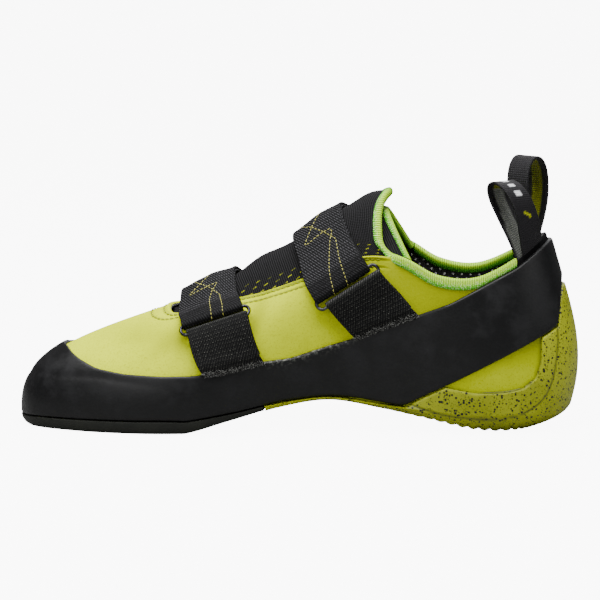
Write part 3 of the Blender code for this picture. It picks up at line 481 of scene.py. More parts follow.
class Recipe:
    # One material: its node tree, with short calls for the nodes that the finishes share
    def __init__(self, name, roughness=0.6, **sockets):
        self.material = bpy.data.materials.new(name)
        self.material.use_nodes = True
        self.tree = self.material.node_tree
        self.shader = self.tree.nodes["Principled BSDF"]
        self.shader.inputs["Roughness"].default_value = roughness
        for socket, value in sockets.items():
            self.shader.inputs[socket.replace("_", " ")].default_value = value

    def node(self, kind, inputs, **settings):
        made = self.tree.nodes.new("ShaderNode" + kind)
        for setting, value in settings.items():
            setattr(made, setting, value)
        for key, value in inputs.items():
            if isinstance(value, bpy.types.NodeSocket):
                self.tree.links.new(value, made.inputs[key])
            else:
                made.inputs[key].default_value = value
        return made

    def place(self):
        return self.node("TexCoord", {}).outputs["Object"]

    def cloth(self):
        parts = self.node("SeparateXYZ", {0: self.node("UVMap", {}, uv_map="cloth").outputs[0]})
        return parts.outputs[0], parts.outputs[1]

    def mask(self, label):
        return self.node("Attribute", {}, attribute_name=label).outputs["Fac"]

    def work(self, operation, *values):
        return self.node("Math", dict(enumerate(values)), operation=operation).outputs[0]

    def times(self, a, b):
        return self.work("MULTIPLY", a, b)

    def plus(self, a, b):
        return self.work("ADD", a, b)

    def minus(self, a, b):
        return self.work("SUBTRACT", a, b)

    def wave(self, value, pitch):
        return self.work("SINE", self.times(value, 2 * math.pi / pitch))

    def noise(self, scale, detail=3.0, rough=0.5, vector=None):
        return self.node("TexNoise", {"Vector": vector or self.place(), "Scale": scale, "Detail": detail,
                                      "Roughness": rough}).outputs["Fac"]

    def cells(self, scale, output="Distance"):
        return self.node("TexVoronoi", {"Vector": self.place(), "Scale": scale}).outputs[output]

    def range(self, value, low, high, to=(0.0, 1.0)):
        return self.node("MapRange", {"Value": value, "From Min": low, "From Max": high, "To Min": to[0],
                                      "To Max": to[1]}, interpolation_type="SMOOTHSTEP").outputs[0]

    def mix(self, factor, first, second):
        return self.node("Mix", {0: factor, 6: first, 7: second}, data_type="RGBA").outputs[2]

    def joined(self, x, y):
        return self.node("CombineXYZ", {0: x, 1: y}).outputs[0]

    def bump(self, height, depth, strength=1.0, under=None):
        inputs = {"Height": height, "Distance": depth * mm, "Strength": strength}
        if under is not None:
            inputs["Normal"] = under
        return self.node("Bump", inputs).outputs[0]

    def set(self, color=None, normal=None, roughness=None):
        for socket, value in (("Base Color", color), ("Normal", normal), ("Roughness", roughness)):
            if isinstance(value, bpy.types.NodeSocket):
                self.tree.links.new(value, self.shader.inputs[socket])
            elif value is not None:
                self.shader.inputs[socket].default_value = value
        return self.material


# The darker lime towards the heel is painted shade; the shade colour darkens the nap specks and is also
# painted shade in the creases
microfibre = {"light": paint(224, 238, 0), "deep": paint(200, 212, 0), "shade": paint(140, 148, 0),
              "paintedHeelShade": paint(122, 129, 0), "heelTab": paint(16, 16, 17)}


def microfibreFinish():
    # Clouds of two limes and darker nap specks, with painted shade towards the heel high on the wall and
    # painted shade in the creases and seam grooves
    r = Recipe("limeMicrofibre", 0.92, Specular_IOR_Level=0.06)
    clouds = r.range(r.noise(38.0, 4.0, 0.6), 0.35, 0.68)
    nap = r.noise(1150.0, 4.0, 0.75)
    color = r.mix(r.times(clouds, 0.5), microfibre["light"], microfibre["deep"])
    along, _, rise = r.node("SeparateXYZ", {0: r.place()}).outputs
    # Painted shade: darker towards the heel and higher up the wall, where the collar turns away from the
    # lamps
    paintedHeelShade = r.times(r.range(along, -0.03, 0.1, (0.0, 0.9)), r.range(rise, 0.025, 0.05, (0.25, 1.0)))
    color = r.mix(paintedHeelShade, color, microfibre["paintedHeelShade"])
    color = r.mix(r.range(nap, 0.5, 0.66, (0.0, 0.36)), color, microfibre["shade"])
    # Painted shade in the folds and along the throat's seam grooves (the crease mask)
    color = r.mix(r.times(r.mask("crease"), 0.8), color, microfibre["shade"])
    color = r.mix(r.mask("heelTab"), color, microfibre["heelTab"])
    soft = r.bump(r.noise(260.0, 3.0, 0.6), 0.25, 0.5)
    return r.set(color, r.bump(nap, 0.12, 0.6, soft))


def liningFinish(name="dottedLining", dots=True):
    # Pale dots where the distance to a cell's middle is small, every other row shifted
    r = Recipe(name, 0.9, Sheen_Weight=0.2)
    u, v = r.cloth()
    base = r.mix(r.noise(700.0, 2.0), paint(24, 23, 24), paint(52, 50, 51))
    pitch = 4.6
    row = r.work("FLOOR", r.work("DIVIDE", v, pitch / 2))
    shifted = r.plus(u, r.times(r.work("MODULO", row, 2.0), pitch / 2))
    near = [r.minus(r.work("WRAP", value, step, 0.0), step / 2)
            for value, step in ((shifted, pitch), (v, pitch / 2))]
    far = r.work("SQRT", r.plus(r.times(near[0], near[0]), r.times(near[1], near[1])))
    dot = r.range(far, 0.5, 0.66, (1.0, 0.0))
    color = r.mix(dot, base, paint(252, 252, 248)) if dots else base
    knit = r.wave(v, 0.9)
    knit = r.times(knit, r.wave(u, 0.9))
    return r.set(color, r.bump(knit, 0.12, 0.8))


def rubberFinish(name, dark, light, roughness=0.55, frayed=False):
    # Two tones mixed by dust and scuffs, with specks where the edge is frayed
    r = Recipe(name, roughness, Specular_IOR_Level=0.3)
    dust = r.range(r.noise(60.0, 5.0, 0.65), 0.42, 0.72)
    color = r.mix(dust, dark, light)
    grain = r.noise(1400.0, 3.0, 0.6)
    scuffs = r.range(r.noise(22.0, 6.0, 0.7), 0.55, 0.7)
    color = r.mix(r.times(scuffs, 0.35), color, light)
    if frayed:
        specks = r.range(r.noise(520.0, 3.0, 0.7), 0.5, 0.6)
        color = r.mix(r.times(r.mask("frayed"), specks), color, paint(118, 120, 112))
    height = r.plus(grain, r.times(r.noise(300.0, 3.0), 1.5))
    dulled = r.range(dust, 0.0, 1.0, (roughness - 0.08, roughness + 0.12))
    return r.set(color, r.bump(height, 0.06, 0.6), dulled)


# The line colour is painted shade along the moulded grooves
heelPaint = {"body": paint(168, 176, 0), "deep": paint(138, 145, 0), "panel": paint(190, 198, 0),
             "speck": paint(8, 9, 1), "line": paint(62, 66, 0)}


def speckledFinish():
    # A speck where the distance to a cell's point is under the cell's own random size
    r = Recipe("speckledHeelRubber", 0.5, Specular_IOR_Level=0.4)
    color = r.mix(r.range(r.noise(30.0, 4.0), 0.35, 0.7), heelPaint["body"], heelPaint["deep"])
    size = r.range(r.cells(780.0, output="Color"), 0.22, 1.0, (0.0, 0.52))
    speck = r.work("LESS_THAN", r.cells(780.0), size)
    small = r.range(r.cells(1500.0, output="Color"), 0.15, 1.0, (0.0, 0.48))
    fine = r.work("LESS_THAN", r.cells(1500.0), small)
    speck = r.work("MAXIMUM", speck, r.times(fine, 0.7))
    plain = r.mask("panel")
    color = r.mix(plain, color, heelPaint["panel"])
    color = r.mix(r.times(speck, r.minus(1.0, plain)), color, heelPaint["speck"])
    # Painted shade along the moulded grooves (the line mask)
    color = r.mix(r.times(r.mask("line"), 0.75), color, heelPaint["line"])
    height = r.plus(r.noise(900.0, 3.0), r.times(r.noise(140.0, 3.0), 2.0))
    return r.set(color, r.bump(height, 0.08, 0.5))


def elasticFinish(name="ribbedElastic", dashes=True):
    # Ribbed cloth, worn in places, with rows of dashes beside its edges
    r = Recipe(name, 0.85, Specular_IOR_Level=0.2)
    u, v = r.cloth()
    ribs = r.wave(u, 1.05)
    weave = r.wave(v, 0.9)
    color = r.mix(r.range(ribs, -1.0, 1.0), paint(6, 6, 7), paint(40, 39, 41))
    if dashes:
        # Short slanted dashes in staggered rows beside the throat edges
        row = r.work("FLOOR", r.work("DIVIDE", v, 2.7))
        step = r.work("WRAP", r.plus(u, r.times(row, 3.3)), 6.1, 0.0)
        rise = r.minus(r.work("WRAP", v, 2.7, 0.0), r.plus(0.7, r.times(step, 0.3)))
        line = r.work("LESS_THAN", r.work("ABSOLUTE", rise), 0.24)
        dash = r.times(line, r.work("LESS_THAN", step, 2.1))
        worn = r.noise(1.0, 1.0, 0.5, r.joined(r.times(u, 0.3), r.times(v, 0.45)))
        dash = r.times(dash, r.range(worn, 0.38, 0.52, (0.15, 0.95)))
        color = r.mix(r.times(dash, r.mask("dashes")), color, paint(176, 182, 20))
    height = r.plus(ribs, r.times(weave, 0.35))
    return r.set(color, r.bump(height, 0.2, 0.9))


def webbingFinish(name="twillWebbing", rib=1.25, row=2.1, light=paint(98, 97, 101), strength=0.9, dots=None):
    # Slanted strokes in rows along the webbing: sin(2 pi (v + 0.55 (u mod row)) / rib)
    r = Recipe(name, 0.66, Specular_IOR_Level=0.14)
    u, v = r.cloth()
    sway = r.times(r.noise(1.0, 1.0, 0.5, r.joined(r.times(u, 0.35), v)), 0.5)
    step = r.work("WRAP", r.plus(u, sway), row, 0.0)
    stroke = r.wave(r.plus(v, r.times(step, 0.55)), rib)
    ends = r.range(r.work("ABSOLUTE", r.minus(step, row / 2)), row * 0.3, row * 0.5, (1.0, 0.0))
    fibre = r.noise(1.0, 3.0, 0.7, r.joined(r.times(u, 1.6), r.times(v, 1.6)))
    raised = r.times(r.range(stroke, -0.1, 0.95), ends)
    tone = r.times(raised, r.range(fibre, 0.3, 0.75, (0.15, 1.0)))
    # The pale raised strokes are partly the twill's grey yarn and partly painted sheen on the raised yarn
    color = r.mix(r.times(tone, r.range(r.mask("smooth"), 0.0, 1.0, (1.0, 0.3))), paint(5, 5, 6), light)
    if dots:
        near = [r.minus(r.work("WRAP", value, pace, 0.0), pace / 2)
                for value, pace in ((u, row), (v, rib))]
        far = r.plus(*[r.times(value, value) for value in near])
        spot = r.times(r.work("LESS_THAN", far, 0.05), r.range(fibre, 0.45, 0.62, (0.0, 0.8)))
        color = r.mix(spot, color, dots)
        color = r.mix(r.times(r.mask("hem"), r.range(stroke, -0.2, 0.7)), color, paint(92, 92, 90))
        color = r.mix(r.times(r.mask("frayed"), r.range(fibre, 0.48, 0.62)), color, paint(112, 112, 110))
    height = r.plus(r.times(raised, 1.4), fibre)
    return r.set(color, r.bump(height, 0.28, strength))


def loopFinish():
    # Black selvedges; inside, grey below and olive above; outside, a few plain woven bars
    r = Recipe("loopWebbing", 0.6, Specular_IOR_Level=0.25)
    u, v = r.cloth()
    weave = r.wave(r.plus(u, r.times(v, 0.6)), 0.8)
    ribs = r.wave(u, 1.0)
    color = r.mix(r.range(weave, -1.0, 1.0), paint(12, 11, 13), paint(27, 25, 29))
    for mask, dark, light in (("grey", paint(96, 98, 94), paint(128, 130, 124)),
                              ("olive", paint(104, 106, 0), paint(150, 154, 8))):
        color = r.mix(r.mask(mask), color, r.mix(r.range(ribs, -1.0, 1.0), dark, light))
    color = r.mix(r.mask("white"), color, paint(232, 232, 234))
    color = r.mix(r.mask("lime"), color, paint(178, 184, 0))
    return r.set(color, r.bump(r.plus(weave, ribs), 0.12, 0.7))


def bindingFinish():
    # Pale over the edge, greener low on the outside, green with dark specks low on the inside
    r = Recipe("greenBinding", 0.65, Specular_IOR_Level=0.25)
    u, v = r.cloth()
    rib = r.wave(u, 1.1)
    across = r.mask("across")
    color = r.mix(r.range(across, 0.06, 0.26), paint(92, 206, 0), paint(196, 244, 40))
    color = r.mix(r.range(across, 0.66, 0.84), color, paint(74, 184, 10))
    color = r.mix(r.range(rib, 0.1, -1.0, (0.0, 0.62)), color, paint(60, 150, 4))
    grain = r.noise(1.0, 2.0, 0.7, r.joined(r.times(u, 1.5), r.times(v, 1.3)))
    pale = r.times(r.range(grain, 0.52, 0.6), r.range(across, 0.2, 0.34, (0.85, 0.12)))
    color = r.mix(pale, color, paint(220, 246, 170))
    dark = r.times(r.range(grain, 0.48, 0.56), r.range(across, 0.72, 0.86, (0.0, 0.8)))
    color = r.mix(dark, color, paint(22, 62, 2))
    color = r.mix(r.mask("rolled"), color, paint(40, 132, 2))
    return r.set(color, r.bump(rib, 0.16, 0.8))


def threadFinish(name, color, second):
    # Two tones by the twist sin(2.6 (u + v))
    r = Recipe(name, 0.55, Sheen_Weight=0.2)
    u, v = r.cloth()
    twist = r.work("SINE", r.times(r.plus(u, v), 2.6))
    return r.set(r.mix(r.range(twist, -1.0, 1.0), second, color), r.bump(twist, 0.05, 0.7))


def steelFinish():
    # Dark wire with paler, rougher rubs
    r = Recipe("darkWire", 0.3, Metallic=1.0)
    rub = r.range(r.noise(300.0, 4.0), 0.35, 0.7)
    return r.set(r.mix(rub, paint(44, 44, 46), paint(84, 84, 87)), r.bump(r.noise(900.0), 0.02, 0.4),
                 r.range(rub, 0.0, 1.0, (0.16, 0.3)))


def floorFinish():
    # Matt grey that lights the shoe little, and as bright as the room where the camera sees it
    r = Recipe("paleFloor", 0.9, Specular_IOR_Level=0.1)
    r.shader.inputs["Emission Color"].default_value = (1, 1, 1, 1)
    sight = r.node("LightPath", {}).outputs["Is Camera Ray"]
    r.tree.links.new(r.times(sight, floorLook["glow"]), r.shader.inputs["Emission Strength"])
    return r.set(paint(150, 150, 149))


limeMicrofibre = microfibreFinish()
dottedLining = liningFinish()
footbedLining = liningFinish("footbedLining", False)
bandRubber = rubberFinish("bandRubber", paint(8, 8, 9), paint(22, 22, 24), 0.5, True)
outsoleRubber = rubberFinish("outsoleRubber", paint(23, 25, 20), paint(38, 40, 34), 0.65)
heelRubber = speckledFinish()
ribbedElastic = elasticFinish()
plainElastic = elasticFinish("plainElastic", False)
strapWebbing = webbingFinish()
anchorWebbing = webbingFinish("ribbedWebbing", 1.3, 1.9, paint(58, 58, 55), 1.0, paint(118, 118, 112))
loopWebbing = loopFinish()
greenBinding = bindingFinish()
yellowThread = threadFinish("yellowThread", paint(236, 230, 120), paint(176, 170, 50))
limeThread = threadFinish("limeThread", paint(188, 198, 0), paint(120, 128, 0))
greyThread = threadFinish("greyThread", paint(140, 140, 136), paint(84, 84, 80))
darkWire = steelFinish()
print("materials made")


# Floor

def layFloor():
    # Four large squares, a little below the soles
    run = np.linspace(-floorLook["reach"], floorLook["reach"], 3)
    x, y = np.meshgrid(run, run, indexing="ij")
    corners = np.array([[0, 3, 4, 1], [1, 4, 5, 2], [3, 6, 7, 4], [4, 7, 8, 5]])
    points = np.stack([x, y, 0 * x - floorLook["below"] * mm], -1).reshape(-1, 3) / mm - shift
    floor = fillMesh("floor", points, corners)
    floor.data.materials.append(floorFinish())


layFloor()


# Upper: a suede-like skin and a dotted lining, both over the same wall

# The crease strength sets how dark the painted shade in the folds and seam grooves gets
upperLook = {"stations": 480, "skin": 0.95, "edge": 0.8, "liningGap": 0.03, "creaseShadeStrength": 0.9,
             "heelTab": 101.5, "heelTabLow": 62.0, "heelTabFade": 0.6}
throatLook = {"rear": 5.45, "fade": 0.25, "rows": (1.9, 5.6), "groove": 0.5, "grooveWidth": 0.6, "rim": 0.6,
              "rimAt": 0.8, "rimWidth": 0.8, "pitch": 2.5, "length": 1.85, "thread": 0.3, "sunk": -0.12}
# Soft folds: side (1 inner, -1 outer), place and height, direction in degrees, length, width, depth
upperFolds = (
    (1, -48.0, 50.0, 60.0, 16.0, 5.0, 0.9),
    (1, -58.0, 44.0, 35.0, 15.0, 5.0, 0.7),
    (1, -20.0, 50.0, 75.0, 12.0, 4.0, 0.8),
    (1, -74.0, 44.0, 10.0, 12.0, 4.0, 0.5),
)


def denseStations():
    # Even stations all the way round
    return np.arange(upperLook["stations"]) * stationCount / upperLook["stations"]


def wallShares():
    # Shares of the wall's height, closer together near the rounded top edge
    rim = 1 - np.array([0.0075, 0.005, 0.0035, 0.0025, 0.0015, 0.0008, 0.0003, 0.0])
    return np.concatenate([np.linspace(0, 0.88, 52), np.linspace(0.88, 0.99, 36)[1:], rim])


def foldRelief(points):
    # Sum of soft troughs: depth exp(-(n / width)^2 - (t / length)^2) in the side view
    relief = np.zeros(points.shape[:-1])
    for side, x, z, angle, length, width, depth in upperFolds:
        a = math.radians(angle)
        dx, dz = points[..., 0] - x, points[..., 2] - z
        along, off = dx * math.cos(a) + dz * math.sin(a), dz * math.cos(a) - dx * math.sin(a)
        near = np.exp(-(off / width) ** 2 - (along / length) ** 2)
        relief -= depth * near * (points[..., 1] * side < 0)
    return relief


def makeUpper():
    # The wall's face with its relief, rounded off at the top edge, and the lining behind it
    stations = denseStations()
    shares = wallShares() + 0 * stations[:, None]
    grid = stations[:, None] + 0 * shares
    height = wallLength(stations)[:, None]
    face = wall(grid, shares)
    normal = wallNormal(grid, shares)
    toTop = (1 - shares) * height
    throat = throatPart(stations)[:, None]
    look, skin = throatLook, upperLook["skin"]
    seams = sum(np.exp(-((toTop - row) / look["grooveWidth"]) ** 2) for row in look["rows"])
    rim = np.exp(-((toTop - look["rimAt"]) / look["rimWidth"]) ** 2)
    relief = foldRelief(face) + throat * (look["rim"] * rim - look["groove"] * seams)
    q = np.clip(1 - toTop / skin, 0, 1)
    roundOff = skin * (1 - np.sqrt(1 - q * q)) * upperLook["edge"]
    outer = face + normal * (relief - roundOff)[..., None]
    middle = face + normal * (relief - skin)[..., None]
    closed = np.concatenate([face, face[:1]])
    cloth = np.stack(runs(closed), -1)
    heelTab = np.clip((face[..., 0] - upperLook["heelTab"]) / upperLook["heelTabFade"], 0, 1)
    # The crease mask is painted shade, deeper where the folds and seam grooves sink further
    masks = {"crease": np.clip(-relief * upperLook["creaseShadeStrength"], 0, 1),
             "heelTab": heelTab * (face[..., 2] > upperLook["heelTabLow"])}
    piece = shell("upper_skin", outer, middle, ring=True, masks=masks, cloth=cloth)
    finishPiece(piece, limeMicrofibre, "upper_microfibre", "upper")
    front = middle - normal * upperLook["liningGap"]
    back = face + normal * (relief - shoe["upperWall"])[..., None]
    lining = shell("upper_lining", front[:, ::2], back[:, ::2], ring=True, cloth=cloth[:, ::2])
    finishPiece(lining, dottedLining, "lining_fabric", "upper")


def throatPart(stations):
    # 1 along the throat and 0 along the collar
    fromHeel = np.minimum(stations, stationCount - stations)
    return np.clip((fromHeel - throatLook["rear"] + throatLook["fade"]) / throatLook["fade"], 0, 1)


def throatLine(distance, first, last, count=800):
    # Line on the wall at an even distance below its top edge
    stations = np.linspace(first, last, count)
    shares = 1 - distance / wallLength(stations)
    return layer(stations, shares, throatLook["sunk"] + 0 * stations), wallNormal(stations, shares)


def makeThroatStitches():
    # Two rows of stitches along the throat's edge and the bar that joins them
    look = throatLook
    lines = [throatLine(row, look["rear"], stationCount - look["rear"]) for row in look["rows"]]
    # The short bar across both rows at the rear corner
    depths = np.linspace(look["rows"][0] + 0.8, look["rows"][1] + 1.6, 40)
    where = look["rear"] + 0.18 + 0 * depths
    shares = 1 - depths / wallLength(where)
    lines.append((layer(where, shares, 0 * where), wallNormal(where, shares)))
    threads, outs = zip(*(stitchPaths(path, normal, look["pitch"], look["length"]) for path, normal in lines))
    threads, outs = np.concatenate(threads), np.concatenate(outs)
    piece = tubes("throat_stitches", threads, outs, threadRadii(look["thread"]))
    finishPiece(piece, limeThread, "upper_microfibre", "upper")


makeUpper()
makeThroatStitches()
print("upper made")


# Rubber: rand, forefoot sole and heel rubber

def randEdges(stations):
    # The rand's low and top edges as shares of the wall's height
    low = smoothed(heightShare(stations, randLow), 4)
    high = smoothed(heightShare(stations, randTopInner, randTopOuter), 4)
    return low, high


# The crease is the toe cap's soft break, where the band under it starts: place and height
randLook = {"columns": 30, "width": 30.0, "edge": 1.2, "rim": 0.7, "least": 0.35, "crease": 0.35,
            "creaseLine": ((-134.0, 22.0), (-122.0, 24.5), (-92.0, 25.5), (-60.0, 22.0)), "creaseWidth": 1.6,
            "creaseEnd": -55.0, "creaseFade": 30.0, "fray": 1.1, "frayEnds": (-25.0, 34.0), "frayFade": 12.0}


def makeRand():
    # The band: wall + normal (gap + thickness + relief), thinner towards both edges
    look = randLook
    stations = denseStations()
    low, high = randEdges(stations)
    part = edgeColumns(look["columns"], look["width"], look["edge"])
    shares = low[:, None] + (high - low)[:, None] * part
    grid = stations[:, None] + 0 * shares
    band = wallLength(stations)[:, None] * (high - low)[:, None]
    normal = wallNormal(grid, shares)
    base = wall(grid, shares)
    toTop, toLow = (1 - part) * band, part * band
    q = np.clip(1 - np.minimum(toTop, toLow) / (shoe["randWall"] * look["rim"]), 0, 1)
    thick = shoe["randWall"] * (look["least"] + (1 - look["least"]) * np.sqrt(1 - q * q))
    x = base[..., 0]
    line = np.interp(x, *np.array(look["creaseLine"]).T)
    fade = np.clip((look["creaseEnd"] - x) / look["creaseFade"], 0, 1)
    relief = -look["crease"] * np.exp(-((base[..., 2] - line) / look["creaseWidth"]) ** 2) * fade
    outer = base + normal * (shoe["gap"] + thick + relief)[..., None]
    inner = base + normal * shoe["gap"]
    start, end = look["frayEnds"]
    frayed = np.exp(-toTop / look["fray"]) * np.clip((x - start) / look["frayFade"], 0, 1)
    frayed = frayed * np.clip((end - x) / look["frayFade"], 0, 1) * (base[..., 1] < 0)
    piece = shell("rand_band", outer, inner, ring=True, masks={"frayed": frayed})
    finishPiece(piece, bandRubber, "black_rubber", "rand")


# The sole's middle line: place (share of length) and side (share of ballWidth)
spineRows = ((-0.36, -0.07), (-0.2, 0.0), (0.0, 0.06), (0.375, 0.0))
rollLimit = 0.9


def spine(edge):
    # Point of the sole's middle line beside a point of its edge
    places, sides = (np.array(spineRows) * [shoe["length"], shoe["ballWidth"]]).T
    x = np.clip(edge[..., 0], places[0], places[-1])
    return np.stack([x, np.interp(x, places, sides), 0 * x], -1)


def soleRoll(stations, offset, steps):
    # Quarter ellipse from the sole's edge down and in to its underside
    row, under, edge, _ = sections(stations)
    rim = edge + outward(stations) * offset
    inward = (spine(edge) - rim) * [1, 1, 0]
    roll = np.minimum(row["roll"] * shoe["ballWidth"], rollLimit * np.linalg.norm(inward, axis=-1))
    angle = np.linspace(0, math.pi / 2, steps)[None, 1:]
    points = rim[:, None] + unit(inward)[:, None] * (roll[:, None] * (1 - np.cos(angle)))[..., None]
    points[..., 2] = under[:, None] + (edge[:, None, 2] - under[:, None]) * (1 - np.sin(angle))
    return points


def bridge(innerEdge, outerEdge, count):
    # Points between two edges: inner + (outer - inner) part
    part = np.linspace(0, 1, count + 2)[1:-1][None, :, None]
    return innerEdge[:, None] + (outerEdge - innerEdge)[:, None] * part


soleLook = {"stations": 170, "start": 0.6, "rollSteps": 12, "tuck": 0.5, "lip": 0.4, "bridge": 24,
            "deck": 0.02}


def makeForefootSole():
    # Both rolled edges and the flat between them
    look = soleLook
    start = shoe["jointStation"] + look["start"] / (shoe["stationPace"] * shoe["length"])
    stations = np.linspace(start, halfCount, look["stations"])
    offset = shoe["gap"] + shoe["randWall"]

    def half(where):
        rim = layer(where, 0 * where, offset + 0 * where)[:, None] - [0, 0, shoe["gap"]]
        tuck = rim - (outward(where) * look["tuck"])[:, None]
        lip = rim - [0, 0, look["lip"]]
        return np.concatenate([tuck, lip, soleRoll(where, offset, look["rollSteps"])], 1)

    near, far = half(stations), half(stationCount - stations)
    face = np.concatenate([near, bridge(near[:, -1], far[:, -1], look["bridge"]), far[:, ::-1]], 1)
    part = np.linspace(look["deck"], 1 - look["deck"], face.shape[1])[None, :, None]
    deck = face[:, :1] + (face[:, -1:] - face[:, :1]) * part
    piece = shell("forefoot_outsole", face, deck, closeLast=False)
    finishPiece(piece, outsoleRubber, "black_outsole", "forefoot_sole")


# The heel rubber's moulded lines in the side view: place along the shoe and height
heelLines = {
    "inner": ((68.0, 27.0), (83.0, 20.5), (98.0, 20.0), (107.0, 22.5), (112.5, 28.0), (114.3, 36.0),
              (113.8, 48.0)),
    "outer": ((50.0, 14.5), (68.0, 9.0), (83.0, 7.0), (98.0, 7.2), (108.0, 10.0), (116.0, 16.0),
              (120.5, 26.0),
              (122.5, 42.0), (121.5, 53.0)),
    "depth": -0.4, "width": 0.5,
}
heelLook = {"stations": 220, "columns": 78, "rollSteps": 14, "bridge": 20, "clearance": 1.6,
            "sinkShare": 0.02, "rim": 1.4, "least": 0.4, "back": 1.5, "centre": (85.0, 0.0, 30.0),
            "level": 0.12, "panelEnds": (60.0, 114.0), "panelFade": 1.2, "knobPitch": 5.3, "knobs": 1.1,
            "knobShare": 0.6, "knobHeight": 2.4, "knobFrom": 28.0, "knobFade": 12.0, "most": 0.9}


def lineDistance(x, z, line):
    # Least distance to a smooth curve through the line's points
    curve = catmull(line, np.linspace(0, len(line) - 1, 60))
    gap = np.full(x.shape, 1e9)
    for start, end in zip(curve[:-1], curve[1:]):
        dx, dz = end - start
        t = np.clip(((x - start[0]) * dx + (z - start[1]) * dz) / (dx * dx + dz * dz), 0, 1)
        gap = np.minimum(gap, np.hypot(x - start[0] - t * dx, z - start[1] - t * dz))
    return gap


def makeHeelRubber():
    # Both sides and the flat between them, with the panel's ridge lines and the row of knobs
    look, gap = heelLook, shoe["gap"]
    stations = np.linspace(0, shoe["jointStation"], look["stations"])
    columns = look["columns"]

    def half(where):
        low = heightShare(where, randLow)
        panel = heightShare(where, heelPanel)
        length = wallLength(where)
        top = np.clip(np.minimum(panel, low - look["clearance"] * gap / length), 0, 1)
        sink = gap * np.clip(1 - top / look["sinkShare"], 0, 1)
        down = np.linspace(1, 0, columns)
        shares = top[:, None] * down
        grid = where[:, None] + 0 * shares
        thick = gap + shoe["randWall"] + (shoe["heelWall"] - shoe["randWall"]) * (1 - down)
        toTop = (top * length)[:, None] * (1 - down)
        q = np.clip(1 - toTop / look["rim"], 0, 1)
        thick = gap + (thick - gap) * (look["least"] + (1 - look["least"]) * np.sqrt(1 - q * q))
        base, normal = wall(grid, shares), wallNormal(grid, shares)
        side = base + normal * thick[..., None]
        face = np.concatenate([side[:, :-1], soleRoll(where, gap + shoe["heelWall"], look["rollSteps"])], 1)
        face[:, :columns, 2] -= sink[:, None]
        lining = base + normal * look["back"] * gap
        lining[:, :-1, 2] -= sink[:, None]
        lining[:, -1, 2] -= gap
        return face, lining

    (near, backNear), (far, backFar) = half(stations), half(stationCount - stations)
    face = np.concatenate([near, bridge(near[:, -1], far[:, -1], look["bridge"]), far[:, ::-1]], 1)
    count = face.shape[1] - 2 * columns
    lining = np.concatenate([backNear, bridge(backNear[:, -1], backFar[:, -1], count), backFar[:, ::-1]], 1)
    normal = gridNormals(face)
    normal *= np.sign(((face - look["centre"]) * normal).sum(-1, keepdims=True))
    x, z = face[..., 0], face[..., 2]
    side = np.abs(normal[..., 1]) > look["level"]
    inner, outer = lineDistance(x, z, heelLines["inner"]), lineDistance(x, z, heelLines["outer"])
    start, end = look["panelEnds"]
    inside = (z > np.interp(x, *np.array(heelLines["inner"][:5]).T)) & (x > start) & (x < end)
    panel = np.where(inside, np.clip(inner / look["panelFade"], 0, 1), 0) * side
    ridge = np.exp(-(inner / heelLines["width"]) ** 2) + np.exp(-(outer / heelLines["width"]) ** 2)
    # A row of knobs along the lowest edge: |cos(pi run / pitch)| less a share
    low = np.exp(-((z - z.min(1, keepdims=True)) / look["knobHeight"]) ** 2)
    low = low * np.clip((x - look["knobFrom"]) / look["knobFade"], 0, 1)
    knobs = np.abs(np.cos(runs(face)[0][:, :1] * math.pi / look["knobPitch"])) - look["knobShare"]
    relief = np.minimum(heelLines["depth"] * ridge * side + look["knobs"] * knobs * low, look["most"])
    face[1:-1] += (normal * relief[..., None])[1:-1]
    face[..., 2] = np.maximum(face[..., 2], 0.0)
    # The line mask marks the moulded grooves, where shade is painted
    piece = shell("heel_cup_rubber", face, lining, closeFirst=False,
                  masks={"panel": panel, "line": np.clip(ridge * side, 0, 1)})
    finishPiece(piece, heelRubber, "yellow_rubber", "heel_rubber")


insoleLook = {"stations": 200, "columns": 34, "dip": 0.6}


def makeInsole():
    # A sheet across the floor, as thick as thickness - dip sin(pi part)^2
    stations = np.linspace(0, halfCount, insoleLook["stations"])

    def edge(where):
        line = layer(where, 0 * where, -(shoe["upperWall"] + shoe["gap"]) + 0 * where)
        line[:, 2] = sections(where)[2][:, 2] + shoe["gap"]
        return line

    near, far = edge(stations), edge(stationCount - stations)
    part = np.linspace(0, 1, insoleLook["columns"])[None, :, None]
    low = near[:, None] + (far - near)[:, None] * part
    dip = insoleLook["dip"] * np.sin(np.pi * part) ** 2
    top = low + np.array([0, 0, 1.0]) * (shoe["insoleThickness"] - dip)
    piece = shell("insole_sock", top, low, closeFirst=False, closeLast=False)
    finishPiece(piece, footbedLining, "lining_fabric", "insole")


makeRand()
makeForefootSole()
makeHeelRubber()
makeInsole()
print("rubber and insole made")


# Elastic gusset and inner tongue: place, station, arch over the edges, lean of the crest

gussetRows = (
    (0.00, 12.20, -0.012, 0.000), (0.08, 11.20, 0.010, 0.000), (0.17, 10.10, 0.080, -0.012),
    (0.30, 9.10, 0.070, -0.018), (0.48, 8.00, 0.135, -0.024), (0.64, 7.20, 0.170, -0.028),
    (0.82, 6.20, 0.215, -0.026), (1.00, 5.15, 0.302, -0.011),
)
innerFlapRows = ((0.00, 6.50, 0.130, -0.022), (0.50, 5.60, 0.170, -0.026), (1.00, 4.75, 0.232, -0.045))
elasticLook = {"tuck": 0.93, "drawn": 6.2, "drawFrom": 0.78, "drawRun": 0.22, "humpSpread": 1.6,
               "dashes": 9.0, "dashFrom": -34.0, "dashFade": 3.0}
# Humps that stand up between and behind the straps: place along the shoe, width, height
gussetHumps = ((-19.0, 9.0, 2.3), (33.0, 7.0, 1.6))


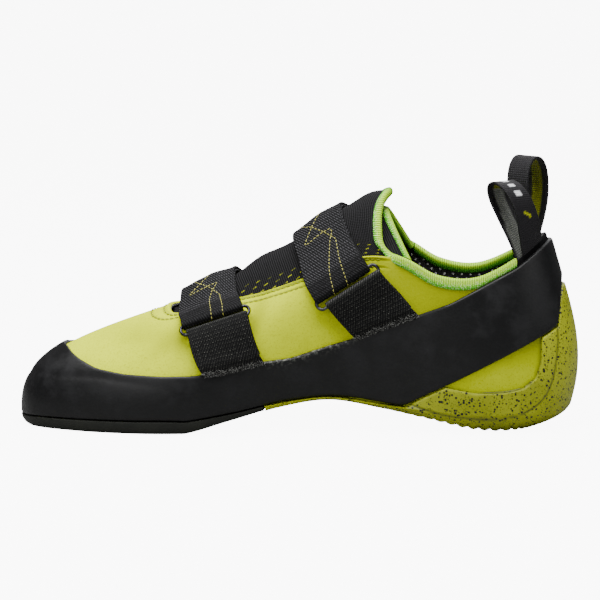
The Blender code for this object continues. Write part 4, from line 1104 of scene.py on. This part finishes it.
def gusset(table, places, parts, inset):
    # Between both throat edges, raised by sin(pi u) times the arch and moved by it times the lean
    smooth = catmull(table, np.interp(places, np.array(table)[:, 0], np.arange(len(table))))
    station, arch, lean = smooth[:, 1], smooth[:, 2] * shoe["heelHeight"], smooth[:, 3] * shoe["length"]
    depth = shoe["upperWall"] + 3 * shoe["gap"] + shoe["elasticWall"] / 2 + inset

    def springing(where, share):
        return layer(where, share + 0 * where, -depth + 0 * where)

    edgeIn, edgeOut = springing(station, 1.0), springing(stationCount - station, 1.0)
    u = parts[None, :, None]
    bow = np.sin(np.pi * u)
    grid = edgeIn[:, None] + (edgeOut - edgeIn)[:, None] * u
    grid = grid + bow * np.stack([lean, 0 * lean, arch], -1)[:, None]
    tucks = np.linspace(elasticLook["tuck"], 1.0, 4)[:-1]
    near = np.stack([springing(station, share) for share in tucks], 1)
    far = np.stack([springing(stationCount - station, share) for share in tucks[::-1]], 1)
    return np.concatenate([near, grid, far], 1)


def tongueGrid(rows=150, columns=90):
    # The rear edge is drawn towards the toe halfway up, so that its peak leans back
    places, parts = np.linspace(0, 1, rows), np.linspace(0, 1, columns)
    grid = gusset(gussetRows, places, parts, 0.0)
    bow = np.sin(np.pi * np.concatenate([np.zeros(3), parts, np.zeros(3)]))
    drawn = (1 - bow ** 6) * np.clip(bow * 5, 0, 1)
    rear = np.clip((places - elasticLook["drawFrom"]) / elasticLook["drawRun"], 0, 1)
    grid[..., 0] -= elasticLook["drawn"] * (rear * rear * (3 - 2 * rear))[:, None] * drawn
    return grid


def innerTongueGrid(rows=80, columns=70):
    # The inner flap's grid, one layer further in than the gusset
    return gusset(innerFlapRows, np.linspace(0, 1, rows), np.linspace(0, 1, columns),
                  shoe["elasticWall"] + 4 * shoe["gap"])


def makeTongues():
    # The gusset with its humps, and the flap behind it
    look = elasticLook
    grid = tongueGrid()
    bow = np.sin(np.pi * np.linspace(0, 1, grid.shape[1]))
    hump = sum(height * np.exp(-((grid[..., 0] - x) / width) ** 2) for x, width, height in gussetHumps)
    grid[..., 2] += hump * np.clip(bow * look["humpSpread"], 0, 1)
    run = runs(grid)[1]
    tuck = run[:, 3:4]
    near = np.minimum(run - tuck, run[:, -1:] - tuck - run)
    clear = np.clip((grid[..., 0] - look["dashFrom"]) / look["dashFade"], 0, 1)
    dashes = np.clip(look["dashes"] - near, 0, 1) * clear
    piece = shell("elastic_gusset", *slab(grid, shoe["elasticWall"]), masks={"dashes": dashes})
    finishPiece(piece, ribbedElastic, "black_elastic", "tongue")
    piece = shell("inner_flap", *slab(innerTongueGrid(), shoe["elasticWall"]))
    finishPiece(piece, plainElastic, "black_elastic", "inner_tongue")


makeTongues()
print("elastic made")


# Ribbed green edge tape

bindingLook = {"wall": 0.8, "puff": 0.4, "lift": 0.6, "crown": 0.15, "outside": 3.9, "inside": 3.4,
               "flapOutside": 2.9, "flapInside": 2.2, "ribPitch": 1.1, "rib": 0.12, "legRows": 10,
               "turnRows": 9, "heel": 2.0, "seam": 4.68, "corner": 4.98, "stations": 330,
               "cornerStations": 16, "margin": 0.1, "spacing": 0.35, "widen": 12.0, "rolled": 0.75,
               "rolledRun": 3.2}


def tapePiece(name, legOut, legIn, edge, normals, outs, thickness, node, rolled=None):
    # Two legs joined by a half ellipse round the cloth's edge; every rib is a cosine along the tape.
    # A leg's height is near + (wall + puff) sqrt(1 - part^4), part being 0 at the edge and 1 at its end
    look = bindingLook
    near = shoe["gap"] * look["lift"]
    far = near + look["wall"] + look["puff"]

    def plump(part):
        return near + (far - near) * math.sqrt(max(1 - part ** 4, 0))

    def flat(part):
        return near

    middle = edge - normals * thickness / 2
    turn = np.linspace(0, math.pi, look["turnRows"] + 2)[1:-1]

    def over(reach, lift):
        return [middle + normals * (thickness / 2 + reach) * math.cos(a) + outs * lift * math.sin(a)
                for a in turn]

    skin = np.stack(legOut(plump) + over(far, far + look["crown"]) + legIn(plump), 1)
    hollow = np.stack(legOut(flat) + over(near, near) + legIn(flat), 1)
    run = runs(skin)[0]
    wave = look["rib"] * (np.cos(2 * math.pi * run / look["ribPitch"]) - 1) / 2
    out = gridNormals(skin)
    out *= np.sign(((skin - hollow) * out).sum(-1, keepdims=True))
    skin = skin + out * wave[..., None]
    across = np.linspace(0, 1, skin.shape[1]) + 0 * run
    cloth = np.stack([run, runs(skin)[1]], -1)
    dark = 0 * across
    if rolled is not None:
        dark = np.clip(rolled[:, None] + np.clip((across - 0.5) / 0.1, 0, 0.8), 0, 1)
    piece = shell(name, skin, hollow, masks={"across": across, "rolled": dark}, cloth=cloth, sharp=60)
    return finishPiece(piece, greenBinding, "green_binding", node)


def collarEdge(stations):
    # The upper's top edge with its outward and upward directions, and the wall's thickness
    one = np.ones(len(stations))
    edge = wall(stations, one)
    return np.hstack([edge, wallNormal(stations, one), unit(edge - wall(stations, 0.96 * one)),
                      shoe["upperWall"] * one[:, None]])


def makeCollarBinding(name, node, outerSide):
    # Tape over one side of the collar, no further down than the rand's top edge
    look = bindingLook
    stations = np.linspace(look["heel"], look["seam"], look["stations"])
    if outerSide:
        stations = stationCount - stations
    height = wallLength(stations)
    randTop = smoothed(heightShare(stations, randTopInner, randTopOuter), 10, False)
    room = (1 - randTop) * height - look["margin"]
    outside = np.clip(np.minimum(look["outside"], room), shoe["gap"], None) / height
    rows = collarEdge(stations)

    def legOut(lift):
        return [layer(stations, 1 - outside * part, lift(part) + 0 * stations)
                for part in np.linspace(1, 0, look["legRows"])]

    def legIn(lift):
        return [layer(stations, 1 - look["inside"] / height * part,
                      -shoe["upperWall"] - lift(part) + 0 * stations)
                for part in np.linspace(0, 1, look["legRows"])]

    tapePiece(name, legOut, legIn, rows[:, :3], rows[:, 3:6], rows[:, 6:9], shoe["upperWall"], node)


def joinRows(first, last, count=14):
    # Cubic Hermite from the end of one run of rows to the start of the next
    t = np.linspace(0, 1, count + 2)[1:-1, None]
    length = np.linalg.norm(last[0, :3] - first[-1, :3])
    leave = np.zeros((1, first.shape[1]))
    arrive = leave * 1.0
    leave[0, :3] = unit(first[-1, :3] - first[-2, :3]) * length
    arrive[0, :3] = unit(last[1, :3] - last[0, :3]) * length
    rest = 3 * t ** 2 - 2 * t ** 3
    return ((1 - rest) * first[-1:] + rest * last[:1] + (t ** 3 - 2 * t ** 2 + t) * leave
            + (t ** 3 - t ** 2) * arrive)


def makeFlapBinding(name, grid, node, start, end, onCollar=False):
    # Tape over a flap's free edge, and on over the collar's corner where asked
    look = bindingLook
    normals = gridNormals(grid)[-1]
    outs = unit(grid[-1] - grid[-6])
    edge = grid[-1] + normals * shoe["elasticWall"] / 2
    rows = np.hstack([edge, normals, outs, 0 * edge[:, :1] + shoe["elasticWall"]])[start:end]
    if onCollar:
        corner = np.linspace(look["seam"], look["corner"], look["cornerStations"])
        near, far = collarEdge(corner), collarEdge(stationCount - corner[::-1])
        rows = np.vstack([near, joinRows(near, rows), rows, joinRows(rows, far), far])
        rows = smoothed(rows, 6, False)
    rows = np.hstack(resample(rows[:, :3], look["spacing"], rows[:, 3:6], rows[:, 6:9], rows[:, 9:]))
    edge, normals, outs, thickness = rows[:, :3], unit(rows[:, 3:6]), unit(rows[:, 6:9]), rows[:, 9:]
    run = pathRun(edge)[:, None]
    fromTop = run[:, 0] - run[int(np.argmax(edge[:, 2]))]
    rolled = look["rolled"] * np.exp(-(fromTop / look["rolledRun"]) ** 2)
    outside = look["flapOutside"]
    if onCollar:
        # As wide as the collar's tape where it lies on the collar
        share = ease(np.minimum(run, run[-1] - run), look["widen"])
        outside = outside + (look["outside"] - outside) * share

    def legOut(lift):
        return [edge + normals * lift(part) - outs * outside * part
                for part in np.linspace(1, 0, look["legRows"])]

    def legIn(lift):
        return [edge - normals * (thickness + lift(part)) - outs * look["flapInside"] * part
                for part in np.linspace(0, 1, look["legRows"])]

    tapePiece(name, legOut, legIn, edge, normals, outs, thickness, node, rolled)


makeCollarBinding("collar_tape_inner", "collar_binding_inner", False)
makeCollarBinding("collar_tape_outer", "collar_binding_outer", True)
makeFlapBinding("gusset_tape", tongueGrid(), "tongue_binding", 6, -6, True)
makeFlapBinding("inner_flap_tape", innerTongueGrid(), "inner_tongue_binding", 4, -4)
print("edge tapes made")


# Webbing: straps pulled tight over the foot, anchors, rings and heel loops

straps = {
    "front": {"crest": -0.164, "height": 0.72, "slope": 19.0, "turn": 11.0, "ring": 0.545, "tail": 14.0,
              "slant": 0.21, "gather": 0.14, "strapSlant": 0.10, "strapShift": -1.4, "ringShift": -0.7,
              "anchorShift": -0.3, "bars": 6.8, "pinch": 0.10, "bow": 3.2},
    "rear": {"crest": 0.036, "height": 1.03, "slope": 34.0, "turn": 12.0, "ring": 0.755, "tail": 16.0,
             "slant": 0.13, "gather": 0.0, "strapSlant": 0.0, "strapShift": -3.4, "ringShift": -1.9,
             "anchorShift": -1.8, "bars": 5.6, "pinch": 0.12, "bow": 1.4},
}
webbingLook = {"pinchRun": 26.0, "bowFall": 14.0, "columns": 15, "edge": 0.6, "lowCount": 110,
               "highCount": 70, "tabCount": 60, "foldCount": 11, "reach": 5.3, "flare": 14.0, "count": 221,
               "offsets": np.arange(-26.0, 38.0, 2.0), "distances": np.arange(-80.0, 80.0, 0.6),
               "slantStart": 3.0, "tuckRun": 6.0, "strapSink": -0.8, "tabSink": -0.9, "smoothRun": 8.0,
               "smoothRows": 20, "hem": 2.4, "hemFade": 0.3, "frayed": 2.6, "frayedFade": 1.6}
# Zigzag threads on the straps: share across, and share of the way from the crest to the fold
strapThreads = {
    "front": (((0.54, -0.01), (0.17, 0.29), (0.68, 0.24), (0.58, 0.40), (0.51, 0.63), (0.48, 1.02)),
              ((0.24, -0.01), (0.46, 0.22), (0.58, 0.35), (0.71, 0.53), (0.70, 0.66), (0.67, 1.01))),
    "rear": (((0.60, -0.01), (0.16, 0.26), (0.72, 0.26), (0.74, 0.31), (0.65, 0.40), (0.42, 0.77),
              (0.31, 1.02)),
             ((0.14, -0.01), (0.38, 0.10), (0.59, 0.26), (0.76, 0.42), (0.70, 0.61), (0.57, 1.01))),
}
threadLook = {"pitch": 2.0, "length": 1.5, "lift": 0.12, "sink": 0.1, "radius": 0.16, "samples": 160,
              "passes": 12, "inFold": 6}
frayLook = {"count": 110, "turn": 1.5, "length": (0.6, 1.7), "bend": 0.5, "out": (0.5, 1.0),
            "up": (-0.2, 1.2), "radius": 0.06}
underLayer = 2 * shoe["gap"] + shoe["webbingWall"] / 2
overLayer = underLayer + shoe["webbingWall"] + shoe["gap"]
foldRadius = shoe["ringWire"] / 2 + shoe["gap"] + shoe["webbingWall"] / 2
barHeight = underLayer + foldRadius


def strapFrame(strap):
    # Crest, directions along and over the shoe, and their normal along x over
    slope, turn = math.radians(strap["slope"]), math.radians(strap["turn"])
    along = np.array([math.cos(slope) * math.cos(turn), -math.cos(slope) * math.sin(turn), math.sin(slope)])
    over = np.array([math.sin(turn), math.cos(turn), 0.0])
    crest = np.array([strap["crest"] * shoe["length"], 0.0, strap["height"] * shoe["heelHeight"]])
    return crest, along, over, np.cross(along, over)


def footPoints():
    # Points all over the upper's wall and the gusset, which the straps lie on
    stations = np.linspace(0, stationCount, 521)[:-1, None] + np.zeros(81)
    shares = np.linspace(0, 1, 81) + 0 * stations
    tongue = slab(tongueGrid(91, 61), shoe["elasticWall"])[0]
    return np.vstack([wall(stations, shares).reshape(-1, 3), tongue.reshape(-1, 3)])


foot = footPoints()


def halfHull(points, turn):
    # Monotone chain: a point goes when the path past it doesn't turn the given way
    hull = []
    for point in points:
        while len(hull) > 1:
            a, b = hull[-2], hull[-1]
            if turn * ((b[0] - a[0]) * (point[1] - a[1]) - (b[1] - a[1]) * (point[0] - a[0])) < 0:
                break
            hull.pop()
        hull.append(point)
    return hull


def tautLine(strap, offset):
    # Convex hull of the foot's section near the strap's plane, from inner low round to outer low
    crest, along, over, up = strapFrame(strap)
    fromCrest = foot - crest - offset * along
    band = fromCrest[np.abs(fromCrest @ along) < webbingLook["reach"]]
    flat = np.stack([band @ over, band @ up], -1)
    rising = flat[np.lexsort((flat[:, 0], flat[:, 1]))]
    hull = np.array(halfHull(rising, 1) + halfHull(rising, -1)[-2::-1])
    run = pathRun(hull)
    even = np.linspace(0, run[-1], webbingLook["count"])
    line = smoothed(pointsAt(even, run, hull), 6, False)
    slope = unit(np.gradient(line, axis=0))
    return {"points": crest + offset * along + line[:, :1] * over + line[:, 1:] * up,
            "normals": slope[:, :1] * up - slope[:, 1:] * over, "run": even, "height": line[:, 1]}


def alongLine(line, where, name):
    # Values of a line at runs along it
    return pointsAt(where, line["run"], line[name])


def tautSheet(strap):
    # Taut lines side by side, each sampled at the same distances from its crest
    sheet = {"points": [], "normals": []}
    for offset in webbingLook["offsets"]:
        line = tautLine(strap, offset)
        where = line["run"][int(np.argmax(line["height"]))] + webbingLook["distances"]
        for name in sheet:
            sheet[name].append(alongLine(line, where, name))
    return {name: smoothed(np.array(rows), 2, False) for name, rows in sheet.items()}


def slantedLine(strap, offset, sheet, slant, less=0.0, below=0.0):
    # A line of the sheet that drifts towards the heel by slant times its way down the inner side,
    # and by that much less once it is further down than below
    distances, offsets, start = webbingLook["distances"], webbingLook["offsets"], webbingLook["slantStart"]
    down = np.maximum(-distances, 0)
    drift = offset + slant * (np.hypot(down, start) - start) - less * np.maximum(down - below, 0)
    index = (drift - offsets[0]) / (offsets[1] - offsets[0])
    base = np.clip(index.astype(int), 0, len(offsets) - 2)
    part, rows = (index - base)[:, None], np.arange(len(distances))
    line = {name: values[base, rows] * (1 - part) + values[base + 1, rows] * part
            for name, values in sheet.items()}
    crest, _, _, up = strapFrame(strap)
    line.update(run=distances - distances[0], height=(line["points"] - crest) @ up)
    return line


def meetingRun(line, table, outerSide, clearance):
    # Run at which a line comes down to the rand's top edge on one side
    points, peak = line["points"], int(np.argmax(line["height"]))
    order = np.arange(peak, len(points)) if outerSide else np.arange(peak, -1, -1)
    low = points[order, 2] < heightAt(points[order, 0], table) + clearance
    return line["run"][order[low.argmax()] if low.any() else order[-1]]


def webbingColumns(strap, width, shares, slant, shift=0.0):
    # One line of the taut sheet for each share of the width, with its runs at the ring and at the crest
    level = (strap["ring"] - strap["height"]) * shoe["heelHeight"] / math.cos(math.radians(strap["slope"]))
    columns = []
    if "sheet" not in strap:
        strap["sheet"] = tautSheet(strap)
    for share in shares:
        offset = (share - 0.5) * width + shift
        line = slantedLine(strap, offset, strap["sheet"], slant)
        peak = int(np.argmax(line["height"]))
        bar = np.interp(level, line["height"][:peak], line["run"][:peak])
        line = slantedLine(strap, offset, strap["sheet"], slant, strap["gather"] * share,
                           line["run"][peak] - bar)
        line["bar"] = bar
        line["peak"] = line["run"][peak]
        columns.append(line)
    return columns


def ringFrame(strap):
    # The ring's upper bar over the taut lines: its middle and three directions
    columns = webbingColumns(strap, shoe["strapWidth"], np.linspace(0, 1, 4), strap["slant"],
                             strap["anchorShift"])
    feet = np.array([alongLine(c, c["bar"], "points") for c in columns])
    normals = np.array([alongLine(c, c["bar"], "normals") for c in columns])
    sideways = unit(feet[-1] - feet[0])
    normal = unit(normals.mean(0) - sideways * (normals.mean(0) @ sideways))
    downhill = np.cross(normal, sideways)
    downhill *= -1 if downhill[2] > 0 else 1
    middle = feet.mean(0)
    lift = barHeight + max(0.0, float(((feet - middle) @ normal).max()))
    return middle + normal * lift, sideways, downhill, normal


def foldedLayer(column, where, bar, centre, normal, liftFar, liftNear):
    # A layer of webbing over a taut line, pulled to the ring's bar near it
    weight = ease(np.abs(where - bar), webbingLook["flare"])[:, None]
    pull = centre - normal * barHeight - alongLine(column, bar, "points")
    out = unit(alongLine(column, where, "normals") * (1 - weight) + normal * weight)
    lift = out * (liftFar + (liftNear - liftFar) * weight)
    return alongLine(column, where, "points") + lift + pull * weight


def fold(centre, normal, direction):
    # Half circle of webbing round a bar: centre + radius (direction sin a - normal cos a)
    turn = np.linspace(0, math.pi, webbingLook["foldCount"] + 2)[1:-1, None]
    return centre + foldRadius * (direction * np.sin(turn) - normal * np.cos(turn))


def bandShares():
    # Shares of the strap's width, closer together at its edges
    return edgeColumns(webbingLook["columns"], shoe["strapWidth"], webbingLook["edge"])


def strapGrid(strap):
    # From the outer rand over to the ring, round its upper bar and back on top
    lowCount, highCount = webbingLook["lowCount"], webbingLook["highCount"]
    bar, sideways, downhill, normal = ringFrame(strap)
    grid, shares = [], bandShares()
    columns = webbingColumns(strap, shoe["strapWidth"], shares, strap["strapSlant"])
    for column, share in zip(columns, shares):
        centre = bar + sideways * ((share - 0.5) * shoe["strapWidth"] + strap["strapShift"])
        end = meetingRun(column, randTopOuter, True, webbingLook["strapSink"])
        low = np.linspace(end, column["bar"], lowCount)
        high = np.linspace(column["bar"], column["peak"] + strap["tail"], highCount)
        under = foldedLayer(column, low, column["bar"], centre, normal, underLayer, underLayer)
        over = foldedLayer(column, high, column["bar"], centre, normal, overLayer, barHeight + foldRadius)
        grid.append(np.concatenate([under, fold(centre, normal, downhill), over]))
    # Narrower by the pinch away from the bar, each row about its middle, and raised by the bow at the crest
    grid = np.stack(grid, 1)
    crest = ease(grid[..., 2].max(0) - grid[..., 2], webbingLook["bowFall"])
    grid[..., 2] += strap["bow"] * crest * np.sin(np.pi * shares) ** 2
    middle = grid[:, len(shares) // 2, None]
    near = ease(np.linalg.norm(middle - bar, axis=-1, keepdims=True), webbingLook["pinchRun"])
    return middle + (grid - middle) * (1 - strap["pinch"] * (1 - near))


def anchorGrid(strap):
    # The tab's two layers between the rand and the ring, with a fold round its lower bar
    count = webbingLook["tabCount"]
    bar, sideways, downhill, normal = ringFrame(strap)
    grid, shares = [], bandShares()
    columns = webbingColumns(strap, shoe["anchorWidth"], shares, strap["slant"], strap["anchorShift"])
    for column, share in zip(columns, shares):
        centre = bar + sideways * (share - 0.5) * shoe["anchorWidth"] + downhill * strap["bars"]
        top = column["bar"] - strap["bars"]
        end = meetingRun(column, randTopInner, False, webbingLook["tabSink"])
        low = np.linspace(end, top, count)
        short = np.linspace(end + webbingLook["tuckRun"], top, count)
        sink = (overLayer - underLayer) * ease(low - end, webbingLook["tuckRun"])[:, None]
        under = foldedLayer(column, short, top, centre, normal, underLayer, underLayer)
        over = foldedLayer(column, low, top, centre, normal, overLayer - sink, barHeight + foldRadius)
        grid.append(np.concatenate([under, fold(centre, normal, -downhill), over[::-1]]))
    return np.stack(grid, 1)


def ringPath(strap, samples=13):
    # Two half ellipses with straight bars between them: corner cos t, bars / 2 sin t
    bar, sideways, downhill, normal = ringFrame(strap)
    corner, bars = shoe["ringCorner"], strap["bars"]
    half = shoe["anchorWidth"] / 2 + shoe["gap"] + shoe["ringWire"] / 2 + corner / 3
    turn = np.linspace(-math.pi / 2, math.pi / 2, samples)
    right = np.stack([half - corner + corner * np.cos(turn), bars / 2 * np.sin(turn)], -1)
    outline = np.concatenate([right, -right])
    centre = bar + downhill * bars / 2 + sideways * strap["ringShift"]
    return centre + outline[:, :1] * sideways + outline[:, 1:] * downhill, normal


def makeRing(name, strap, sides=14):
    # The wire's circle swept along the path
    path, normal = ringPath(strap)
    tangent = unit(np.roll(path, -1, 0) - np.roll(path, 1, 0))
    side = np.cross(tangent, normal)
    turn = np.linspace(0, 2 * math.pi, sides, endpoint=False)
    around = side[:, None] * np.cos(turn)[:, None] + normal * np.sin(turn)[:, None]
    points = path[:, None] + shoe["ringWire"] / 2 * around
    i, j = np.meshgrid(np.arange(len(path)), np.arange(sides), indexing="ij")
    i, j = i.ravel(), j.ravel()
    corners = np.stack([(a % len(path)) * sides + b % sides
                        for a, b in ((i, j), (i + 1, j), (i + 1, j + 1), (i, j + 1))], -1)
    piece = fillMesh("wire_ring_" + name, points.reshape(-1, 3), corners)
    finishPiece(piece, darkWire, "ring_steel", "ring_" + name)


def gridPoint(grid, row, column):
    # Bilinear look-up at fractional rows and columns
    i = np.clip(row.astype(int), 0, len(grid) - 2)
    j = np.clip(column.astype(int), 0, grid.shape[1] - 2)
    a, b = (row - i)[:, None], (column - j)[:, None]
    return ((1 - a) * (1 - b) * grid[i, j] + a * (1 - b) * grid[i + 1, j]
            + (1 - a) * b * grid[i, j + 1] + a * b * grid[i + 1, j + 1])


def rowAtDrop(height, drop):
    # Row of a strap's column at a share of the fall from its crest down to the fold
    crest = int(np.argmax(height))
    fall = (height[crest] - height[:crest + 1]) / (height[crest] - height[0])
    return np.interp(drop, fall[::-1], np.arange(crest, -1, -1))


def makeStrapThreads(side, face):
    # Threads over the strap's top layer, from share pairs to rows and columns of its grid
    look = threadLook
    normals = gridNormals(face)
    normals *= np.sign((normals * [0, 0, 1]).sum(-1).mean())
    shares = bandShares()
    paths = []
    for corners in strapThreads[side]:
        line = np.array(corners)
        dense = pointsAt(np.linspace(0, len(line) - 1, look["samples"]), np.arange(len(line)), line)
        dense = smoothed(dense, look["passes"], False)
        column = np.interp(dense[:, 0], shares, np.arange(len(shares)))
        row = np.array([rowAtDrop(face[:, int(c), 2], drop) for c, drop in zip(column, dense[:, 1])])
        paths.append(stitchPaths(gridPoint(face, row, column), gridPoint(normals, row, column),
                                 look["pitch"], look["length"], look["lift"], look["sink"]))
    threads, outs = (np.concatenate(items) for items in zip(*paths))
    piece = tubes("strap_thread_" + side, threads, outs, threadRadii(look["radius"]))
    finishPiece(piece, yellowThread, "strap_webbing", "strap_" + side)


def makeFray(side, tab):
    # Loose fibres along the tab's lower end: short bent tubes with random turns
    look, count = frayLook, frayLook["count"]
    end, above = tab[-1, 2:-2], tab[-6, 2:-2]
    part = chance.uniform(0, len(end) - 1.01, count)
    at = gridPoint(np.stack([end, above]), 0.75 + 0 * part, part)
    up = unit(gridPoint(np.stack([above, end]), 0 * part, part) - at)
    across = unit(end[-1] - end[0])
    out = unit(np.cross(across, up))
    out *= np.sign(-out[:, 1:2])
    turn = chance.uniform(-look["turn"], look["turn"], (count, 1))
    heading = up * np.cos(turn) + across * np.sin(turn)
    length = chance.uniform(*look["length"], (count, 1, 1))
    t = np.linspace(0, 1, 5)[None, :, None]
    bend = chance.uniform(-look["bend"], look["bend"], (count, 1, 1))
    base = at + out * chance.uniform(*look["out"], (count, 1)) + up * chance.uniform(*look["up"], (count, 1))
    path = t * heading[:, None] + bend * t * t * across + 0.25 * t * (1 - t) * out[:, None]
    radii = look["radius"] * (1 - 0.9 * np.abs(2 * t[0, :, 0] - 1) ** 8)
    piece = tubes("fray_" + side, base[:, None] + length * path, np.repeat(out[:, None], 5, 1), radii, 4)
    finishPiece(piece, greyThread, "strap_webbing", "anchor_" + side)


def makeStraps():
    # The straps with their threads, and the tabs with their frayed ends
    look = webbingLook
    for side, strap in straps.items():
        grid = strapGrid(strap)
        top, back = rounded(grid, shoe["webbingWall"])
        rows = np.arange(len(grid))[:, None] + 0 * grid[..., 0]
        run = runs(grid)[0]
        foldRow = look["lowCount"] + look["foldCount"]
        smooth = np.clip(run[foldRow] + look["smoothRun"] - run, 0, 1)
        smooth = smooth * (rows > look["lowCount"] - look["smoothRows"])
        piece = shell("webbing_strap_" + side, top, back, masks={"smooth": smooth})
        finishPiece(piece, strapWebbing, "strap_webbing", "strap_" + side)
        lifted = top if top[-1, 8, 2] > back[-1, 8, 2] else back
        makeStrapThreads(side, lifted[foldRow - threadLook["inFold"]:])
        tab = anchorGrid(strap)
        run = runs(tab)[0]
        middle = run[look["tabCount"] + look["foldCount"] // 2]
        masks = {"hem": np.clip((look["hem"] - np.abs(run - middle)) / look["hemFade"], 0, 1),
                 "frayed": np.clip((run - run[-1:] + look["frayed"]) / look["frayedFade"], 0, 1)}
        piece = shell("webbing_tab_" + side, *rounded(tab, shoe["webbingWall"]), masks=masks)
        finishPiece(piece, anchorWebbing, "strap_webbing", "anchor_" + side)
        makeFray(side, tab)
        makeRing(side, strap)


heelLoops = {
    "inner": {"station": 1.35, "height": 0.335, "opening": 14.5, "lean": -0.048, "tuck": 4.0},
    "outer": {"station": 24.65, "height": 0.44, "opening": 14.0, "lean": -0.004, "tuck": 4.0},
    "webbing": 14.0, "columns": 11, "edge": 0.6, "nearby": 0.1, "straighten": 1.8,
}


def heelLoopGrid(loop, count=120):
    # From the inside of the wall over to its outside: out by -opening cos a sin a, up by height sin a
    look = heelLoops
    station = loop["station"]
    top = wall(np.array([station]), np.ones(1))[0]
    level = unit(wallNormal(np.array([station]), np.ones(1))[0] * [1, 1, 0])
    ends = wall(np.array([station - look["nearby"], station + look["nearby"]]), np.ones(2))
    pace = np.linalg.norm(ends[1] - ends[0]) / (2 * look["nearby"])
    flat = unit((ends[1] - ends[0]) * [1, 1, 0])
    innerFoot = -(shoe["upperWall"] + 2 * shoe["gap"] + bindingLook["wall"] + shoe["webbingWall"] / 2)
    outerFoot = shoe["gap"] + shoe["webbingWall"] / 2
    turn = np.linspace(0, math.pi, count)
    up = np.sin(turn)
    blend = np.clip(look["straighten"] * up, 0, 1)[:, None]
    footAt = innerFoot + (outerFoot - innerFoot) * turn / math.pi
    out = (footAt - loop["opening"] * np.cos(turn) * up)[:, None]
    sunk = np.where(turn < math.pi / 2, loop["tuck"], -2 * shoe["gap"]) * (1 - up) ** 6
    rise = np.stack([loop["lean"] * shoe["length"] * up, 0 * up,
                     loop["height"] * shoe["heelHeight"] * up - sunk], -1)
    columns = []
    for share in edgeColumns(look["columns"], look["webbing"], look["edge"]) - 0.5:
        where = np.array([station + share * look["webbing"] / pace])
        curved = wall(where, np.ones(1))[0] + wallNormal(where, np.ones(1))[0] * out
        straight = top + flat * share * look["webbing"] + level * out
        columns.append(curved + (straight - curved) * blend + rise)
    return np.stack(columns, 1)


def makeHeelLoops():
    # Colour bands: the inside is grey low on the inner leg and olive above, the outside has plain bars
    for side in ("inner", "outer"):
        grid = heelLoopGrid(heelLoops[side])
        one, two = rounded(grid, shoe["webbingWall"])
        part = np.linspace(0, 1, len(grid))[:, None] + 0 * grid[..., 0]
        share = runs(grid)[1] / heelLoops["webbing"]
        inBand = np.clip((0.27 - np.abs(share - 0.5)) / 0.03, 0, 1)
        inside = {"grey": inBand * (part < 0.36), "olive": inBand * (part >= 0.36) * (part < 0.95)}
        bars = np.abs(share - 0.5) < 0.16
        white = bars * (np.abs(part[..., None] - np.array([0.52, 0.60, 0.68])).min(-1) < 0.018)
        lime = bars * (np.abs(part + 0.10 * share - 0.87) < 0.012)
        outside = {"white": white * 1.0, "lime": lime * 1.0}
        outward = ((one - grid.mean((0, 1))) ** 2).sum() > ((two - grid.mean((0, 1))) ** 2).sum()
        none = 0 * share
        masks = {}
        for label in ("grey", "olive", "white", "lime"):
            pair = (outside.get(label, none), inside.get(label, none))
            masks[label] = pair if outward else pair[::-1]
        finishPiece(shell("heel_loop_" + side, one, two, masks=masks), loopWebbing, "loop_webbing",
                    "pull_loop_" + side)


makeStraps()
makeHeelLoops()
print("webbing made")
